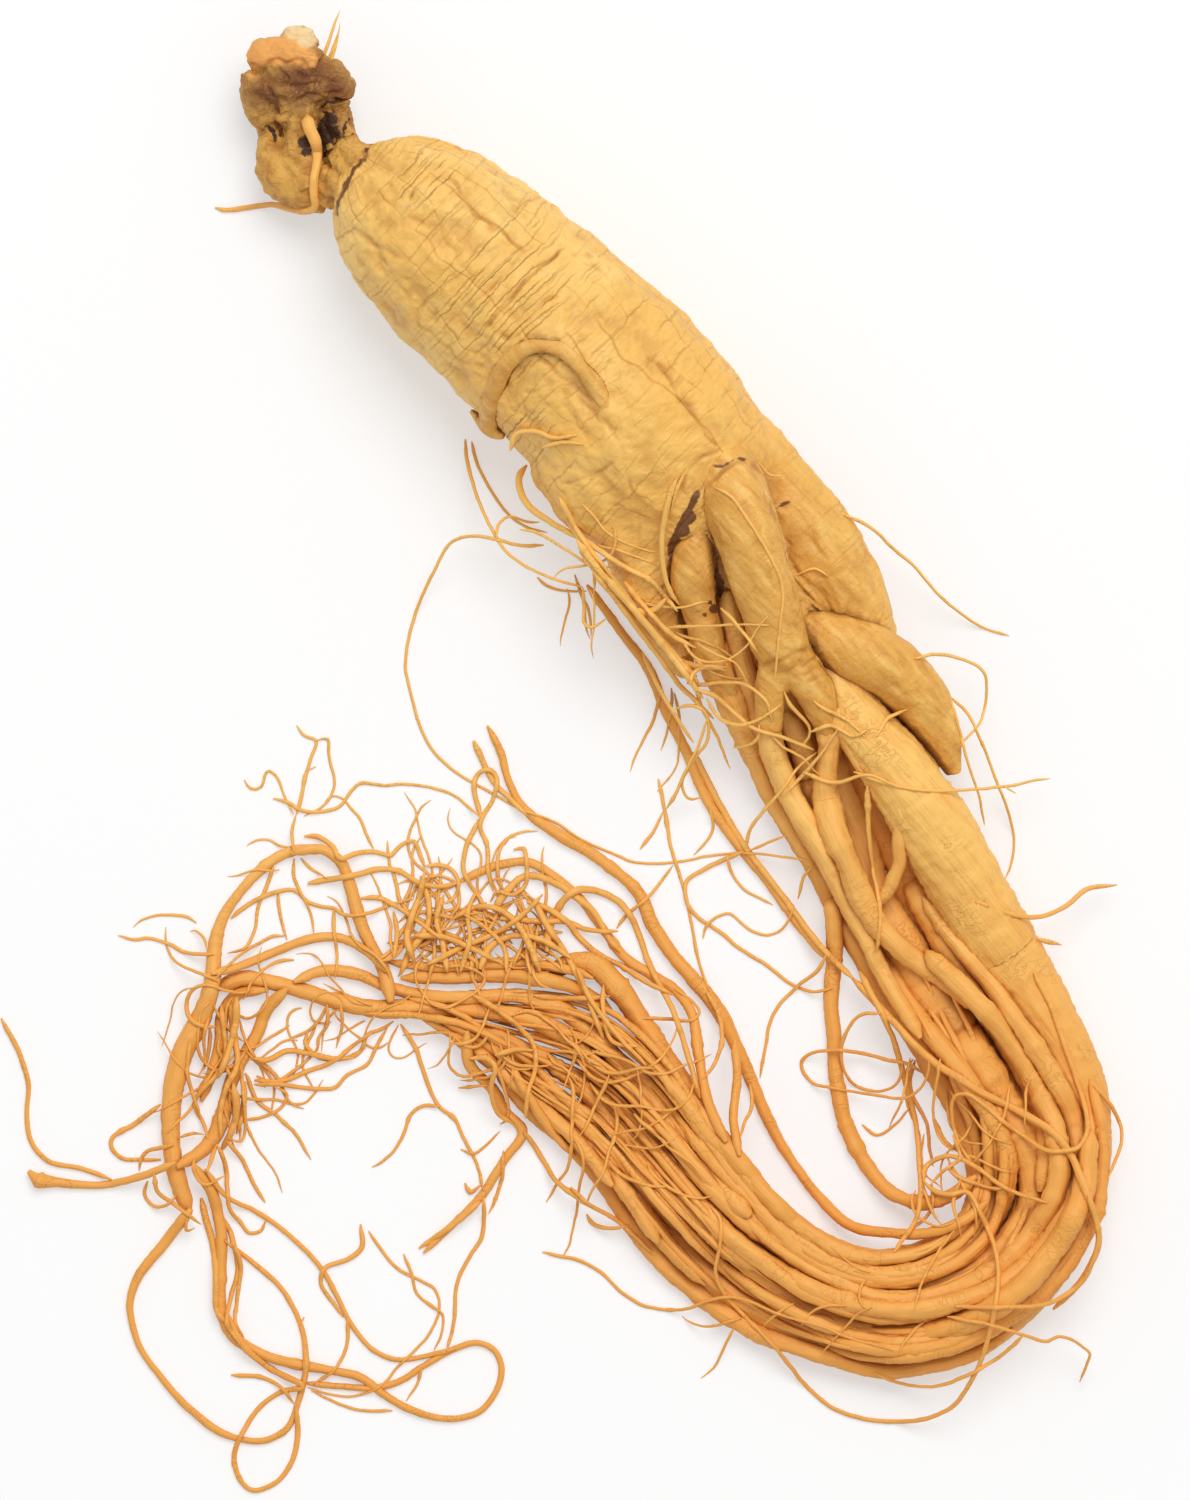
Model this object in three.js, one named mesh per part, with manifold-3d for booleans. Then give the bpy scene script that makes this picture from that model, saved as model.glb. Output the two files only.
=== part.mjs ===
// A fresh ginseng root lying on a table in the shape of a J: a stout main root with its gnarled
// neck at the top, legs that fork from its lower end, and a long tail of strands and rootlets that
// sweeps round to the left. Millimetres, +Z up, the table is the plane z = 0, and the origin is at
// the middle of the ground the root covers.
import * as THREE from 'three';
import Module from 'manifold-3d';
import { mergeVertices } from 'three/addons/utils/BufferGeometryUtils.js';

const wasm = await Module();
wasm.setup();

// Driving dimensions.
const bodyRadius = 16; // the main root where it is thickest
const bodyHeight = 14.6; // its axis above the table, so that its underside lies a little flattened
const settle = 0.85; // strands nestle together to this share of their radii's sum
const stiffness = 0.4; // steepest rise or fall of a strand that climbs over another
const ringSpacing = 3.2; // rings stand this many radii apart along a strand
const closestRings = 5.6;
const widestRings = 8;
const colour = 0xd9a050;

// Sides of a strand's cross-section, by its thickest radius.
const sidesBelow = [[0.7, 4], [1.8, 5], [4, 6], [10, 10], [Infinity, 16]];
const sidesOf = (radius) => sidesBelow.find(([limit]) => radius <= limit)[1];

// Stout parts, each as points [x, y, z, radius] along its middle.
const mainRoot = [
  [-33, 88.2, 0.3], [-28.8, 85.6, 0.56], [-22.5, 81.2, 0.79], [-16.5, 76, 0.89], [-9, 68.8, 0.94],
  [-1, 61.8, 0.99], [6.2, 55.7, 1.01], [13.4, 48, 1], [20, 40.8, 0.86], [25, 34, 0.6],
  [29.5, 27.5, 0.44], [33, 21, 0.36], [36, 15.5, 0.3], [38.5, 11, 0.24],
].map(([x, y, share]) => [x, y, bodyHeight - (1 - share) * 5, share * bodyRadius]);

const stoutParts = [
  mainRoot,
  // The neck: where it joins the body, its brown upper knob, the knob's left lump and its lower lobe.
  [[-28, 85, 12.5, 7], [-32.4, 87, 11.4, 6.2], [-35.4, 91.4, 10, 4.4], [-38, 96.4, 8.8, 4.8],
    [-39.6, 101, 8.6, 5.4], [-40.4, 104.4, 8.6, 3]],
  [[-46, 101, 8, 2.6], [-43.4, 100.8, 8.3, 5.2], [-39, 100.6, 8.5, 6.2], [-35, 99.8, 8.5, 4.8],
    [-32.6, 99, 8.5, 3.4]],
  [[-44.6, 105, 8, 2.4], [-44.2, 101.6, 8, 4], [-44, 97.4, 8, 3.9], [-44.2, 94.6, 8, 3]],
  [[-33.6, 85.2, 10, 4.2], [-37.4, 86.2, 8.4, 5], [-40.8, 87.8, 7.4, 5.2], [-43.2, 89.6, 6.8, 3.8]],
  // Remains of old stems on the crown: a papery stub and two bare spikes.
  [[-39.6, 102, 9, 3], [-39.4, 106.4, 9.6, 2.2], [-39.9, 109, 10, 1.4]],
  [[-36.4, 102, 9, 1.2], [-35.2, 105.6, 10, 0.9], [-33.3, 111.4, 11, 0.4]],
  // The flank low on the left of the body, and the swelling low on its right.
  [[5.5, 47, 15.4, 10.4], [9.4, 40.4, 16.4, 9.6], [11.4, 34.6, 16.6, 7.6], [12.6, 29.6, 16, 5.6],
    [14, 24.6, 14.4, 4.2], [15.8, 20.6, 12.6, 2.8], [17.2, 18, 11, 1.6]],
  [[9, 40, 9, 8], [12, 32.6, 8, 6.4], [14.6, 26.4, 7, 4.6], [17, 21, 6, 2.8]],
  [[26, 47.5, 13.4, 4.8], [32.4, 39, 13, 5.8], [38, 31.2, 12.4, 6.4], [42.4, 25.8, 11.6, 6.4],
    [45.2, 21.5, 10.8, 5], [46.8, 18, 10.4, 3.8],
    [47.6, 15.4, 10, 2.8]],
  // The short arm that forks off to the right.
  [[38.5, 17.6, 13.6, 3.4], [41.5, 16.4, 14, 4.4], [45, 15, 14, 4.9], [49, 12.8, 13.2, 4.9],
    [52.8, 9.4, 12, 4.4], [55.8, 5, 10.8, 3.7], [57.7, 0.6, 9.6, 2.7], [59, -3.4, 8.4, 1.4]],
  // The front arm, which lies on the body.
  [[22.8, 45.6, 20.5, 3.6], [24.6, 41.4, 22.6, 5.2], [26.8, 36, 23.4, 5.6], [28.8, 30, 22.8, 5.6],
    [30.7, 24.5, 21, 5.1], [32.1, 19.5, 19, 4.8], [33.4, 15, 17.2, 4.4], [34, 13.2, 16.4, 3.2]],
  // The hooked side root that curls over the front of the body.
  [[-10.6, 48.6, 16.4, 1.6], [-10, 53, 24, 1.4], [-8.2, 57.4, 28.4, 1.3], [-4.6, 60.2, 30.8, 1.2],
    [0, 59.9, 31.4, 1.3], [3.4, 56.8, 31, 1.5], [6.8, 51.8, 29.6, 1.7], [9.4, 47, 27.6, 1.5]],
];

// The great right leg, the deepest of the bundle. Its first points are still held up by the body.
const rightLeg = [
  [38.4, 15, 2.6, 11.6], [42, 9.6, 3.8, 12.2], [46, 3.1, 4.6, 12.2], [50.2, -2.4, 5.2, 11.8],
  [54, -8.2, 5.7, 11], [58, -14.6, 5.8, 9.4], [61.5, -21, 5.7, 8], [65.2, -27.4, 5.6, 6.6],
  [69, -33.6, 5.2], [72.7, -39.5, 4.8], [76, -45.6, 4.3], [78.7, -52.4, 3.8], [79.6, -60, 3.3],
  [78.7, -67, 3.2], [75.7, -74, 3.1], [71, -81, 3], [64, -87, 2.9], [56, -90, 2.6],
  [48, -90, 2.4], [40, -88.2, 2.3], [33, -85.6, 2.1], [26, -81.8, 2], [20, -76.4, 1.8],
  [15, -70.4, 1.6], [11, -65, 1.4],
];

// The inner and outer edge of the bundle of strands, from the legs round the bend to the tail.
const innerEdge = [
  [31, 8], [32.4, 0], [35, -7], [39.5, -15], [43.5, -23], [47, -30], [50.5, -36], [54.5, -42.5],
  [58, -49], [60.6, -56], [61.4, -63], [59.6, -69.5], [55, -73.4], [49, -75], [43, -74.2], [37, -71],
  [31.5, -66.5], [27, -61], [22.6, -55], [18.6, -49], [14.6, -43.5], [9, -38.6], [2, -35.6], [-6, -35],
  [-14, -35.2], [-22, -35.4],
];
const outerEdge = [
  [52, 4], [56, -2], [60, -9], [64, -16], [68, -23.5], [72, -31], [76.5, -38.5], [80, -46], [82, -54],
  [82.6, -62], [81, -70], [77.4, -77], [72, -83], [65, -87.8], [57, -91.2], [48.6, -92], [40, -90.4],
  [32, -87.4], [25, -83.2], [18.8, -77.6], [13, -71], [8, -64], [2.6, -58], [-3.6, -53],
  [-8.6, -48], [-15, -44],
];

// Strands at the bottom of the bundle: between which two points of the edges each one runs, its
// share of the way from the inner edge to the outer one, and its radius.
const lowStrands = [
  [6, 19, 0.2, 2], [5, 17, 0.46, 2.3], [9, 20, 0.7, 2],
].map(([first, last, across, radius]) => innerEdge.slice(first, last + 1).map(([x, y], index) => [
  THREE.MathUtils.lerp(x, outerEdge[first + index][0], across),
  THREE.MathUtils.lerp(y, outerEdge[first + index][1], across),
  radius,
]));

// Strands in the order in which they lie on each other, as points [x, y, radius] with a height
// after them only where something else holds the strand up.
const strands = [
  rightLeg,
  ...lowStrands,
  // Left inner leg: it runs down the inside of the bundle and all the way round the bend.
  [[21.4, 34.6, 1.4, 18.4], [20.6, 32.4, 2.5, 18.8], [20.1, 29.4, 3.2, 18.8], [20.2, 25.6, 3.2, 18],
    [20.7, 22, 2.5, 16.6], [21.4, 18.8, 2.4, 15.2], [22.8, 14.5, 2.6, 13.2], [24.6, 10, 2.4, 11],
    [26.6, 5, 2.1, 9], [28.9, 0, 1.9, 7], [31.4, -5.5, 1.8], [35.6, -12.5, 1.8], [39.5, -19, 1.8],
    [43.4, -26.5, 1.8], [47.5, -34, 1.8], [52, -41, 1.8], [56, -47.5, 1.8], [59.5, -53, 1.8],
    [61.8, -58, 1.8], [62.9, -63, 1.9], [62.7, -67.5, 1.9], [60, -71.8, 1.9], [55, -75, 1.9],
    [49, -76.3, 1.8], [43, -75.5, 1.8], [36.5, -72.5, 1.7], [31, -68.5, 1.7], [27, -63.5, 1.6],
    [23, -58, 1.5], [19.5, -52.5, 1.4], [16, -47.5, 1.3], [11, -43, 1.2]],
  // Second great leg, in the middle of the bundle.
  [[37.4, 11, 2.2, 5], [39.8, 3.5, 2.3, 4.2], [42.4, -5, 2.3, 3.4], [45, -13, 2.4, 3],
    [47.2, -20, 2.6, 2.8], [49.8, -25.6, 3, 3], [53, -31.5, 3.5, 3.5], [57, -38, 3.7, 3.7],
    [61, -44, 3.6, 3.6], [64.7, -50, 3.3], [68.3, -55.5, 2.9], [70.6, -61, 2.5], [71, -66.5, 2.3],
    [68.6, -72, 2.2], [63.5, -77, 2.2], [57, -80, 2.1], [50, -81, 2], [43, -79.6, 1.9],
    [37, -76.2, 1.8], [31, -71.6, 1.7], [25.5, -66, 1.6], [21, -60, 1.5], [17, -54, 1.4],
    [12, -49, 1.2], [6, -45, 1.1]],
  // Leg deep in the bundle, against the great right leg.
  [[52, -6, 1.4, 5.4], [51.6, -13, 1.8, 4], [53.4, -20.6, 2.1, 2.6], [57.4, -28, 2.2],
    [61.4, -34.6, 2.2], [65.6, -41, 2], [69.6, -47.6, 1.9], [72.4, -54, 1.8], [73.2, -60.4, 1.6],
    [72, -66, 1.4]],
  // Leg between the left inner leg and the front arm.
  [[25, 24, 1.5, 16], [26, 18.4, 1.9, 13.8], [27.6, 12, 1.7, 11.6], [29, 7, 1.3, 9.6],
    [30.8, 1, 1.4, 7.6],
    [33.8, -5.5, 1.5], [37.5, -12.5, 1.5], [42, -20.5, 1.5], [46.5, -28.5, 1.4], [51.5, -36.5, 1.4],
    [57, -44, 1.5], [61.6, -50, 1.5], [65, -55, 1.5], [67.2, -61, 1.5], [66.8, -67, 1.5],
    [63.6, -72.4, 1.5], [58, -76.6, 1.5], [51.5, -78.6, 1.5], [45, -78, 1.5]],
  // The two legs that the front arm splits into, with a root between them and two short branches.
  [[33.8, 6, 1.4, 9], [36.2, 0.6, 1.9, 7.4], [37.4, -4.4, 1.9, 5.6], [39.4, -10, 1.8],
    [42.2, -16, 1.6], [45.6, -22.6, 1.5], [49.4, -29.6, 1.4]],
  [[33.4, 15.5, 3, 17.5], [31.6, 9, 2.1, 15.6], [31.4, 3, 1.9, 13.4], [32.6, -1.6, 1.9, 11],
    [34.3, -6, 2], [36.6, -10, 1.9], [39.5, -15, 1.7], [42.6, -21.2, 1.6], [46, -28, 1.5],
    [50, -36, 1.4], [54, -43, 1.2]],
  [[34.6, 14, 3.2, 16.6], [36.8, 11.2, 3, 15.6], [39, 7.6, 2.7, 14.8], [40.2, 3.4, 1.9, 13.4],
    [40.2, -1, 1.6, 11.6], [39.9, -5, 2, 9.8], [40.4, -9, 2.3], [41.8, -13.6, 2],
    [43.6, -17.8, 1.9], [45.2, -22, 1.9], [47.4, -25.8, 1.8], [50.4, -28.9, 1.7], [54.6, -32, 1.6],
    [58.9, -35.2, 1.5], [63, -38.4, 1.3]],
  [[39.6, 7, 2.4, 14.6], [42.2, 4.2, 1.9, 14], [44.4, -0.2, 1.3, 13.4], [46.8, -4.6, 1.1, 12.8],
    [48.8, -8.8, 0.9, 12.4]],
  [[51.6, -9.2, 1.3, 13.6], [50.8, -13.4, 1.2, 12.4], [51, -16.6, 1.1, 10.8], [49.6, -20, 1.1, 9.4],
    [47.8, -23, 1, 8.6]],
  // Legs over the middle of the bundle and on its right.
  [[55, -30, 1.3, 5], [60, -35, 1.6], [65, -40.2, 1.7], [69, -45.5, 1.7],
    [72, -51, 1.7], [74.2, -57, 1.7], [74.8, -63, 1.7], [73, -69, 1.7], [69, -74.6, 1.7],
    [63, -79, 1.7], [56, -81.8, 1.6], [48.5, -82, 1.6], [42, -79.6, 1.5], [36.6, -75.6, 1.4],
    [31.4, -70, 1.4], [27, -64.4, 1.3], [24.4, -58, 1.2]],
  [[54.4, -21.6, 0.9, 7], [57.2, -25.6, 1.2], [60.8, -30, 1.3], [65, -35.6, 1.4], [69.6, -42, 1.5],
    [74, -49, 1.6], [76.8, -55, 1.6], [77.8, -61, 1.6], [76.8, -67, 1.6], [73.8, -73, 1.6],
    [68.8, -78, 1.6], [62, -81.6, 1.5], [55, -83.4, 1.5], [48, -83.6, 1.4], [41, -82, 1.3],
    [35, -78.4, 1.2], [29, -73.4, 1.1]],
  // The broad pale strand of the tail, which ends as the dried ridge among the left rootlets.
  [[79.4, -57, 1.6], [78.6, -64.5, 1.8], [76, -71.5, 1.8], [71.8, -77.6, 1.9], [66, -82.6, 1.9],
    [59, -86, 1.9], [51.5, -87.3, 1.9], [44, -86.3, 1.9], [37.5, -83.8, 1.9], [32, -80, 1.9],
    [27, -75.5, 1.9], [22.5, -70.5, 1.8], [18, -65, 1.8], [14, -59.5, 1.7], [10.4, -54, 1.6],
    [7, -49, 1.5], [3, -44.5, 1.5], [-2, -41, 1.5], [-8, -39.4, 1.4], [-15, -38.7, 1.4],
    [-22, -38.6, 1.4], [-28, -38.6, 1.4], [-33, -37.6, 1.3], [-38, -36, 1.2], [-43, -34.6, 1.2],
    [-47.5, -34, 1.2], [-52, -35.6, 1.2]],
  // Outermost and lower strands of the tail.
  [[56, -92, 1], [48.6, -92.9, 1.2], [41, -91, 1.3], [33, -88.6, 1.4], [25.6, -85, 1.5],
    [19.4, -80.4, 1.5], [13.8, -74.8, 1.5], [9.4, -69, 1.4], [5.6, -63.6, 1.4], [1.4, -58.8, 1.3],
    [-3, -55.4, 1.2], [-7, -51, 1.2], [-10, -46.6, 1.1], [-13.4, -43.8, 0.9]],
  [[22, -80, 1.1], [16.6, -74.6, 1.4], [12.2, -68, 1.5], [8.4, -61.6, 1.5], [4.2, -56, 1.4],
    [-0.6, -51.6, 1.4], [-6, -47.6, 1.3], [-11, -44.6, 1]],
  [[30, -77.6, 1.2], [24, -73.4, 1.3], [18.6, -68.4, 1.4], [13.6, -63, 1.4], [9, -57.4, 1.4],
    [4.6, -52, 1.3], [-0.6, -47.6, 1.3], [-6.6, -44, 1.2], [-13, -41.6, 1.2], [-19, -40.6, 1]],
  // Pale strand with a stubby free end at the top of the tail.
  [[-1.6, -33.6, 1.3], [1.6, -31.6, 1.5], [4.6, -31.5, 1.7], [7.6, -34.2, 1.8], [10.5, -38, 1.8],
    [14, -43, 1.7], [17.5, -47.5, 1.7], [21, -52, 1.6], [24.5, -56.5, 1.5], [28.5, -61.5, 1.5],
    [33, -66.5, 1.4], [37.5, -71, 1.4], [43, -74.6, 1.2]],
  // Strand over the top of the tail to the tangle on the left.
  [[28.5, -69.6, 1.5], [23.5, -64.6, 1.6], [19, -59.4, 1.6], [14.6, -53.8, 1.6], [10, -48, 1.5],
    [5, -42.6, 1.4], [0, -38.6, 1.3], [-6, -36.6, 1.2], [-13, -36.8, 1.1], [-20, -36.6, 1],
    [-25, -35.5, 0.9], [-30, -33.6, 0.9], [-35.5, -32.8, 0.9], [-40, -34.6, 0.8]],
  // Long free strands inside the bend: the thick one first, then the two that leave the body's
  // underside and the upper left end.
  [[39.8, -17.4, 1, 1.8], [40.9, -22.6, 1.3, 1.7], [41.2, -30, 1.3], [40.8, -37, 1.2], [41.3, -44, 1.2],
    [41.7, -50, 1.2], [43, -56, 1.2], [46, -62, 1.15], [50, -66.4, 1.1], [55, -67.6, 1],
    [59, -66.4, 1], [62.4, -63.6, 0.9]],
  [[4, 25, 0.6, 3], [10, 17, 0.7], [13, 13, 0.8], [16, 6, 0.8], [19, 0, 0.8], [22, -7, 0.8],
    [26, -13, 0.8], [31, -19, 0.8], [36, -26, 0.8], [40.6, -31.4, 0.8]],
  [[-11, 4, 0.5], [-9, 0, 0.6], [-7.5, -5, 0.6], [-5, -9, 0.7], [0, -12.5, 0.9], [5, -15.5, 0.9],
    [9, -18.5, 0.9], [12, -21.5, 1], [14, -26, 1.1], [16.5, -30, 1.1], [20, -34, 1.2],
    [23, -37.7, 1.2], [26, -43, 1.1], [28.7, -49, 1], [31, -54.7, 0.9], [34.5, -61, 0.8],
    [39, -67, 0.8], [44, -71.3, 0.85], [50, -72.2, 0.85], [56, -72, 0.85], [60.5, -70.2, 0.85],
    [64, -67.5, 0.8]],
  [[-15, -19.4, 0.7], [-10, -17.2, 0.7], [-5, -16.5, 0.7], [-1, -18.6, 0.7], [3, -22, 0.7],
    [6, -26, 0.7], [9.5, -30.6, 0.8], [13.6, -33.4, 0.8], [17.6, -36, 0.8], [20, -40, 0.8],
    [20.8, -46, 0.8], [22.4, -53, 0.8], [25, -58.4, 0.8]],
  [[26.3, -43.4, 0.7], [26.6, -49, 0.7], [26, -55, 0.7], [27, -60.5, 0.7]],
  // The arch and the upright strands at the far left.
  [[-34.6, -14.9, 0.7], [-40, -14.9, 0.8], [-44, -16.8, 0.8], [-48, -20.8, 0.8], [-50.8, -25.2, 0.9],
    [-52, -30, 1.1], [-52.4, -35, 1.3], [-54, -40, 1.6], [-56.7, -45, 1.7], [-58, -50, 1.6],
    [-58.5, -55, 1.5], [-58.3, -60, 1.5], [-57.3, -65, 1.4], [-55.6, -69.6, 1]],
  [[-40.4, -15.2, 0.8], [-36, -14.6, 0.8], [-33, -16.5, 0.9], [-31.6, -20, 1], [-30.4, -24.5, 1],
    [-28.6, -28.6, 1], [-26.6, -32.6, 1], [-25.4, -37.6, 1.2]],
  [[-52.4, -33.4, 0.7], [-47, -31.7, 0.7], [-42, -29.6, 0.7], [-37, -28, 0.7], [-33, -28, 0.7],
    [-29, -30, 0.7], [-26, -33, 0.7]],
  [[-41, -35.4, 0.9], [-44, -38.5, 1], [-45.6, -42.5, 1], [-48, -46.5, 1], [-49.6, -50, 1.1],
    [-50.6, -54, 1.2], [-52, -57.6, 1.2], [-54.4, -60.4, 1.1], [-57.6, -62.4, 1]],
  // The strand that doubles back below the tail, and the stub at the far left.
  [[-14, -42, 0.9], [-13.6, -47, 0.9], [-10.4, -50.4, 0.9], [-8.4, -54, 0.8], [-5.6, -57, 0.8],
    [-8.4, -61.4, 0.7], [-11.3, -66, 0.7], [-15, -70, 0.6], [-20.6, -75.3, 0.5]],
  [[-80, -63, 1], [-78.4, -64.4, 1.2], [-75.6, -64.8, 0.8], [-70, -65.2, 0.6], [-66, -64.6, 0.6],
    [-62, -63.4, 0.6], [-57.6, -61.6, 0.6]],
  // Loops at the lower left.
  [[-55, -62, 0.9], [-52.4, -66, 0.9], [-51, -72, 0.9], [-51, -78, 0.9], [-51, -83.6, 0.9],
    [-48.6, -87, 0.9], [-44, -89.3, 0.8], [-39, -91, 0.8], [-34, -92.2, 0.7], [-30, -94, 0.7],
    [-26, -97, 0.6], [-21, -99.5, 0.6], [-16, -100.2, 0.5], [-12, -99, 0.5], [-9.6, -96, 0.5],
    [-8.8, -93, 0.5], [-9.8, -90, 0.5], [-12.5, -88.8, 0.5], [-16, -89.8, 0.5], [-20, -92, 0.5],
    [-24, -94.7, 0.5], [-28, -95.6, 0.5], [-33, -95.4, 0.5], [-38.4, -95, 0.5]],
  [[-55.4, -68.6, 0.9], [-60, -74.5, 0.8], [-63.5, -79, 0.7], [-64.7, -83, 0.6], [-63.5, -89, 0.5],
    [-60, -94, 0.5], [-56, -98.5, 0.6], [-51.5, -102, 0.6], [-48, -103.3, 0.5], [-44, -103.4, 0.5],
    [-41, -101.6, 0.5], [-39.4, -98, 0.5], [-38.4, -94, 0.5], [-38.2, -90, 0.5], [-39, -86, 0.4],
    [-42, -80.6, 0.4], [-46, -77, 0.4], [-50.4, -73.4, 0.4]],
  [[-50.4, -84, 0.5], [-47, -90, 0.5], [-43, -93, 0.5], [-38.6, -95.4, 0.5], [-42, -96.2, 0.4],
    [-45, -98.4, 0.4], [-48, -103, 0.4], [-49, -107, 0.4], [-46.5, -110.9, 0.4], [-43, -110, 0.4],
    [-40.5, -107, 0.4], [-39.5, -102, 0.4], [-39.8, -98, 0.4]],
  [[-53.4, -62.6, 0.5], [-50, -67, 0.4], [-46, -69, 0.4], [-41, -72.5, 0.4], [-36, -77.5, 0.4],
    [-33.5, -82, 0.4], [-31.5, -86, 0.4], [-28, -90, 0.4], [-24.5, -91.4, 0.4], [-20, -90.8, 0.4],
    [-15.6, -89.7, 0.4]],
  // Thin rootlets that reach furthest left and right, and the one that crosses the bend.
  [[-84, -40, 0.4], [-81.5, -45, 0.4], [-80, -50, 0.4], [-80.2, -55, 0.4], [-79.4, -59, 0.4],
    [-77, -61.5, 0.4], [-72, -62.6, 0.4], [-67.4, -64.2, 0.4]],
  [[61, -22, 0.5], [68, -24.3, 0.4], [72, -24.7, 0.4], [76, -23, 0.4], [79, -20.6, 0.4],
    [83.6, -20, 0.3]],
  [[44, -34, 0.6], [50, -40.4, 0.6], [55, -45.5, 0.6], [60, -49, 0.6], [65, -52, 0.6],
    [70, -54.5, 0.6], [74, -57, 0.6], [76.6, -60.6, 0.6], [78.6, -65.4, 0.6], [80.2, -70, 0.5],
    [80.6, -74, 0.5], [78.4, -79, 0.5], [74, -83.6, 0.5]],
];

// Points with a height of null rest on what lies below them.
const points = (route) => route.map(([x, y, radius, z = null]) => ({ x, y, radius, z }));
const held = (route) => route.map(([x, y, z, radius]) => ({ x, y, radius, z }));

// Closely spaced samples on a smooth curve through the points; heights stay null until laid.
function sampled(route) {
  const curveOf = (get) => new THREE.CatmullRomCurve3(route.map(get), false, 'centripetal');
  const plan = curveOf((p) => new THREE.Vector3(p.x, p.y, 0));
  const sizes = new THREE.SplineCurve(route.map((p, i) => new THREE.Vector2(i, p.radius)));
  const spans = route.length - 1;
  const samples = [];
  for (let span = 0; span < spans; span += 1) {
    const [from, to] = [route[span], route[span + 1]];
    const gap = ringSpacing * Math.max(from.radius, to.radius);
    const spacing = THREE.MathUtils.clamp(gap, closestRings, widestRings);
    const rings = Math.max(1, Math.round(Math.hypot(to.x - from.x, to.y - from.y) / spacing));
    for (let ring = 0; ring < rings + (span === spans - 1 ? 1 : 0); ring += 1) {
      const share = ring / rings;
      const { x, y } = plan.getPoint((span + share) / spans);
      const radius = sizes.getPoint((span + share) / spans).y;
      const isHeld = from.z !== null && (to.z !== null || share === 0);
      const z = isHeld ? THREE.MathUtils.lerp(from.z, to.z ?? from.z, share) : null;
      samples.push({ x, y, radius, z });
    }
  }
  return samples;
}

// Everything laid so far, which later strands climb over.
const heap = [];

// The height at which a strand of this radius comes to rest at a spot.
function restingHeight({ x, y, radius }) {
  let height = radius;
  for (const below of heap) {
    const reach = settle * (radius + below.radius);
    const apart = Math.hypot(x - below.x, y - below.y);
    if (apart < reach) height = Math.max(height, below.z + Math.sqrt(reach ** 2 - apart ** 2));
  }
  return height;
}

// Lays a strand on the heap. It bridges dips more steeply sided than its stiffness allows.
function laid(samples) {
  const rests = samples.map((sample) => sample.z ?? restingHeight(sample));
  const reachOver = (order) => order.forEach((here, index) => {
    if (index === 0 || samples[here].z !== null) return;
    const before = order[index - 1];
    const run = Math.hypot(samples[here].x - samples[before].x, samples[here].y - samples[before].y);
    rests[here] = Math.max(rests[here], rests[before] - stiffness * run);
  });
  const forward = samples.map((_, index) => index);
  reachOver(forward);
  reachOver([...forward].reverse());
  samples.forEach((sample, index) => { sample.z = rests[index]; });
  heap.push(...samples);
  return samples;
}

// A closed tapering tube: a lathed column whose rings are moved onto the samples.
function tube(samples) {
  const sides = sidesOf(Math.max(...samples.map((sample) => sample.radius)));
  const last = samples.length - 1;
  const profile = samples.map((sample, index) => new THREE.Vector2(sample.radius, index));
  const column = new THREE.LatheGeometry(
    [new THREE.Vector2(0, 0), ...profile, new THREE.Vector2(0, last)], sides);
  const position = column.getAttribute('position');
  const middle = samples.map(({ x, y, z }) => new THREE.Vector3(x, y, z));
  const up = new THREE.Vector3(0, 0, 1);
  for (let index = 0; index < position.count; index += 1) {
    const ring = Math.round(position.getY(index));
    const along = middle[Math.min(ring + 1, last)].clone().sub(middle[Math.max(ring - 1, 0)]).normalize();
    const across = new THREE.Vector3().crossVectors(along, up).normalize();
    const over = new THREE.Vector3().crossVectors(across, along);
    const spot = middle[ring].clone()
      .addScaledVector(across, position.getX(index))
      .addScaledVector(over, position.getZ(index));
    position.setXYZ(index, spot.x, spot.y, spot.z);
  }
  return column;
}

// A closed mesh as a solid that can be joined and cut, turned inside out first if need be.
function solid(geometry) {
  geometry.deleteAttribute('normal');
  geometry.deleteAttribute('uv');
  const merged = mergeVertices(geometry, 1e-4);
  const triangles = [];
  const index = merged.index.array;
  for (let corner = 0; corner < index.length; corner += 3) {
    const [a, b, c] = index.slice(corner, corner + 3);
    if (a !== b && b !== c && c !== a) triangles.push(a, b, c);
  }
  const build = (triVerts) => new wasm.Manifold(new wasm.Mesh({
    numProp: 3, vertProperties: new Float32Array(merged.getAttribute('position').array), triVerts }));
  const shape = build(new Uint32Array(triangles));
  return shape.volume() > 0 ? shape : build(new Uint32Array(triangles.reverse()));
}

const stout = stoutParts.map((route) => laid(sampled(held(route))));
const fine = strands.map((route) => laid(sampled(points(route))));

// The ground under the root, cut away so that the undersides that press on the table are flat.
const ground = new THREE.BoxGeometry(400, 400, 40);
ground.translate(0, 0, -20);

const whole = [...stout, ...fine]
  .map((samples) => solid(tube(samples)))
  .reduce((sum, shape) => sum.add(shape))
  .subtract(solid(ground));

// Only the outer skin is kept, so that pockets closed in between nestling strands are solid.
const skins = whole.decompose().sort((one, other) => other.volume() - one.volume());
const mesh = skins[0].getMesh();
const surface = new THREE.BufferGeometry();
surface.setAttribute('position', new THREE.BufferAttribute(new Float32Array(mesh.vertProperties), 3));
surface.setIndex(new THREE.BufferAttribute(new Uint32Array(mesh.triVerts), 1));
surface.computeVertexNormals();

const skin = new THREE.MeshStandardMaterial({ color: colour, roughness: 0.6, metalness: 0 });
const root = new THREE.Mesh(surface, skin);
root.name = 'ginseng_root';

const group = new THREE.Group();
group.add(root);

export default group;
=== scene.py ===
import math

import bpy
import numpy as np
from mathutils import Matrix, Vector, kdtree
from mathutils.bvhtree import BVHTree


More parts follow.
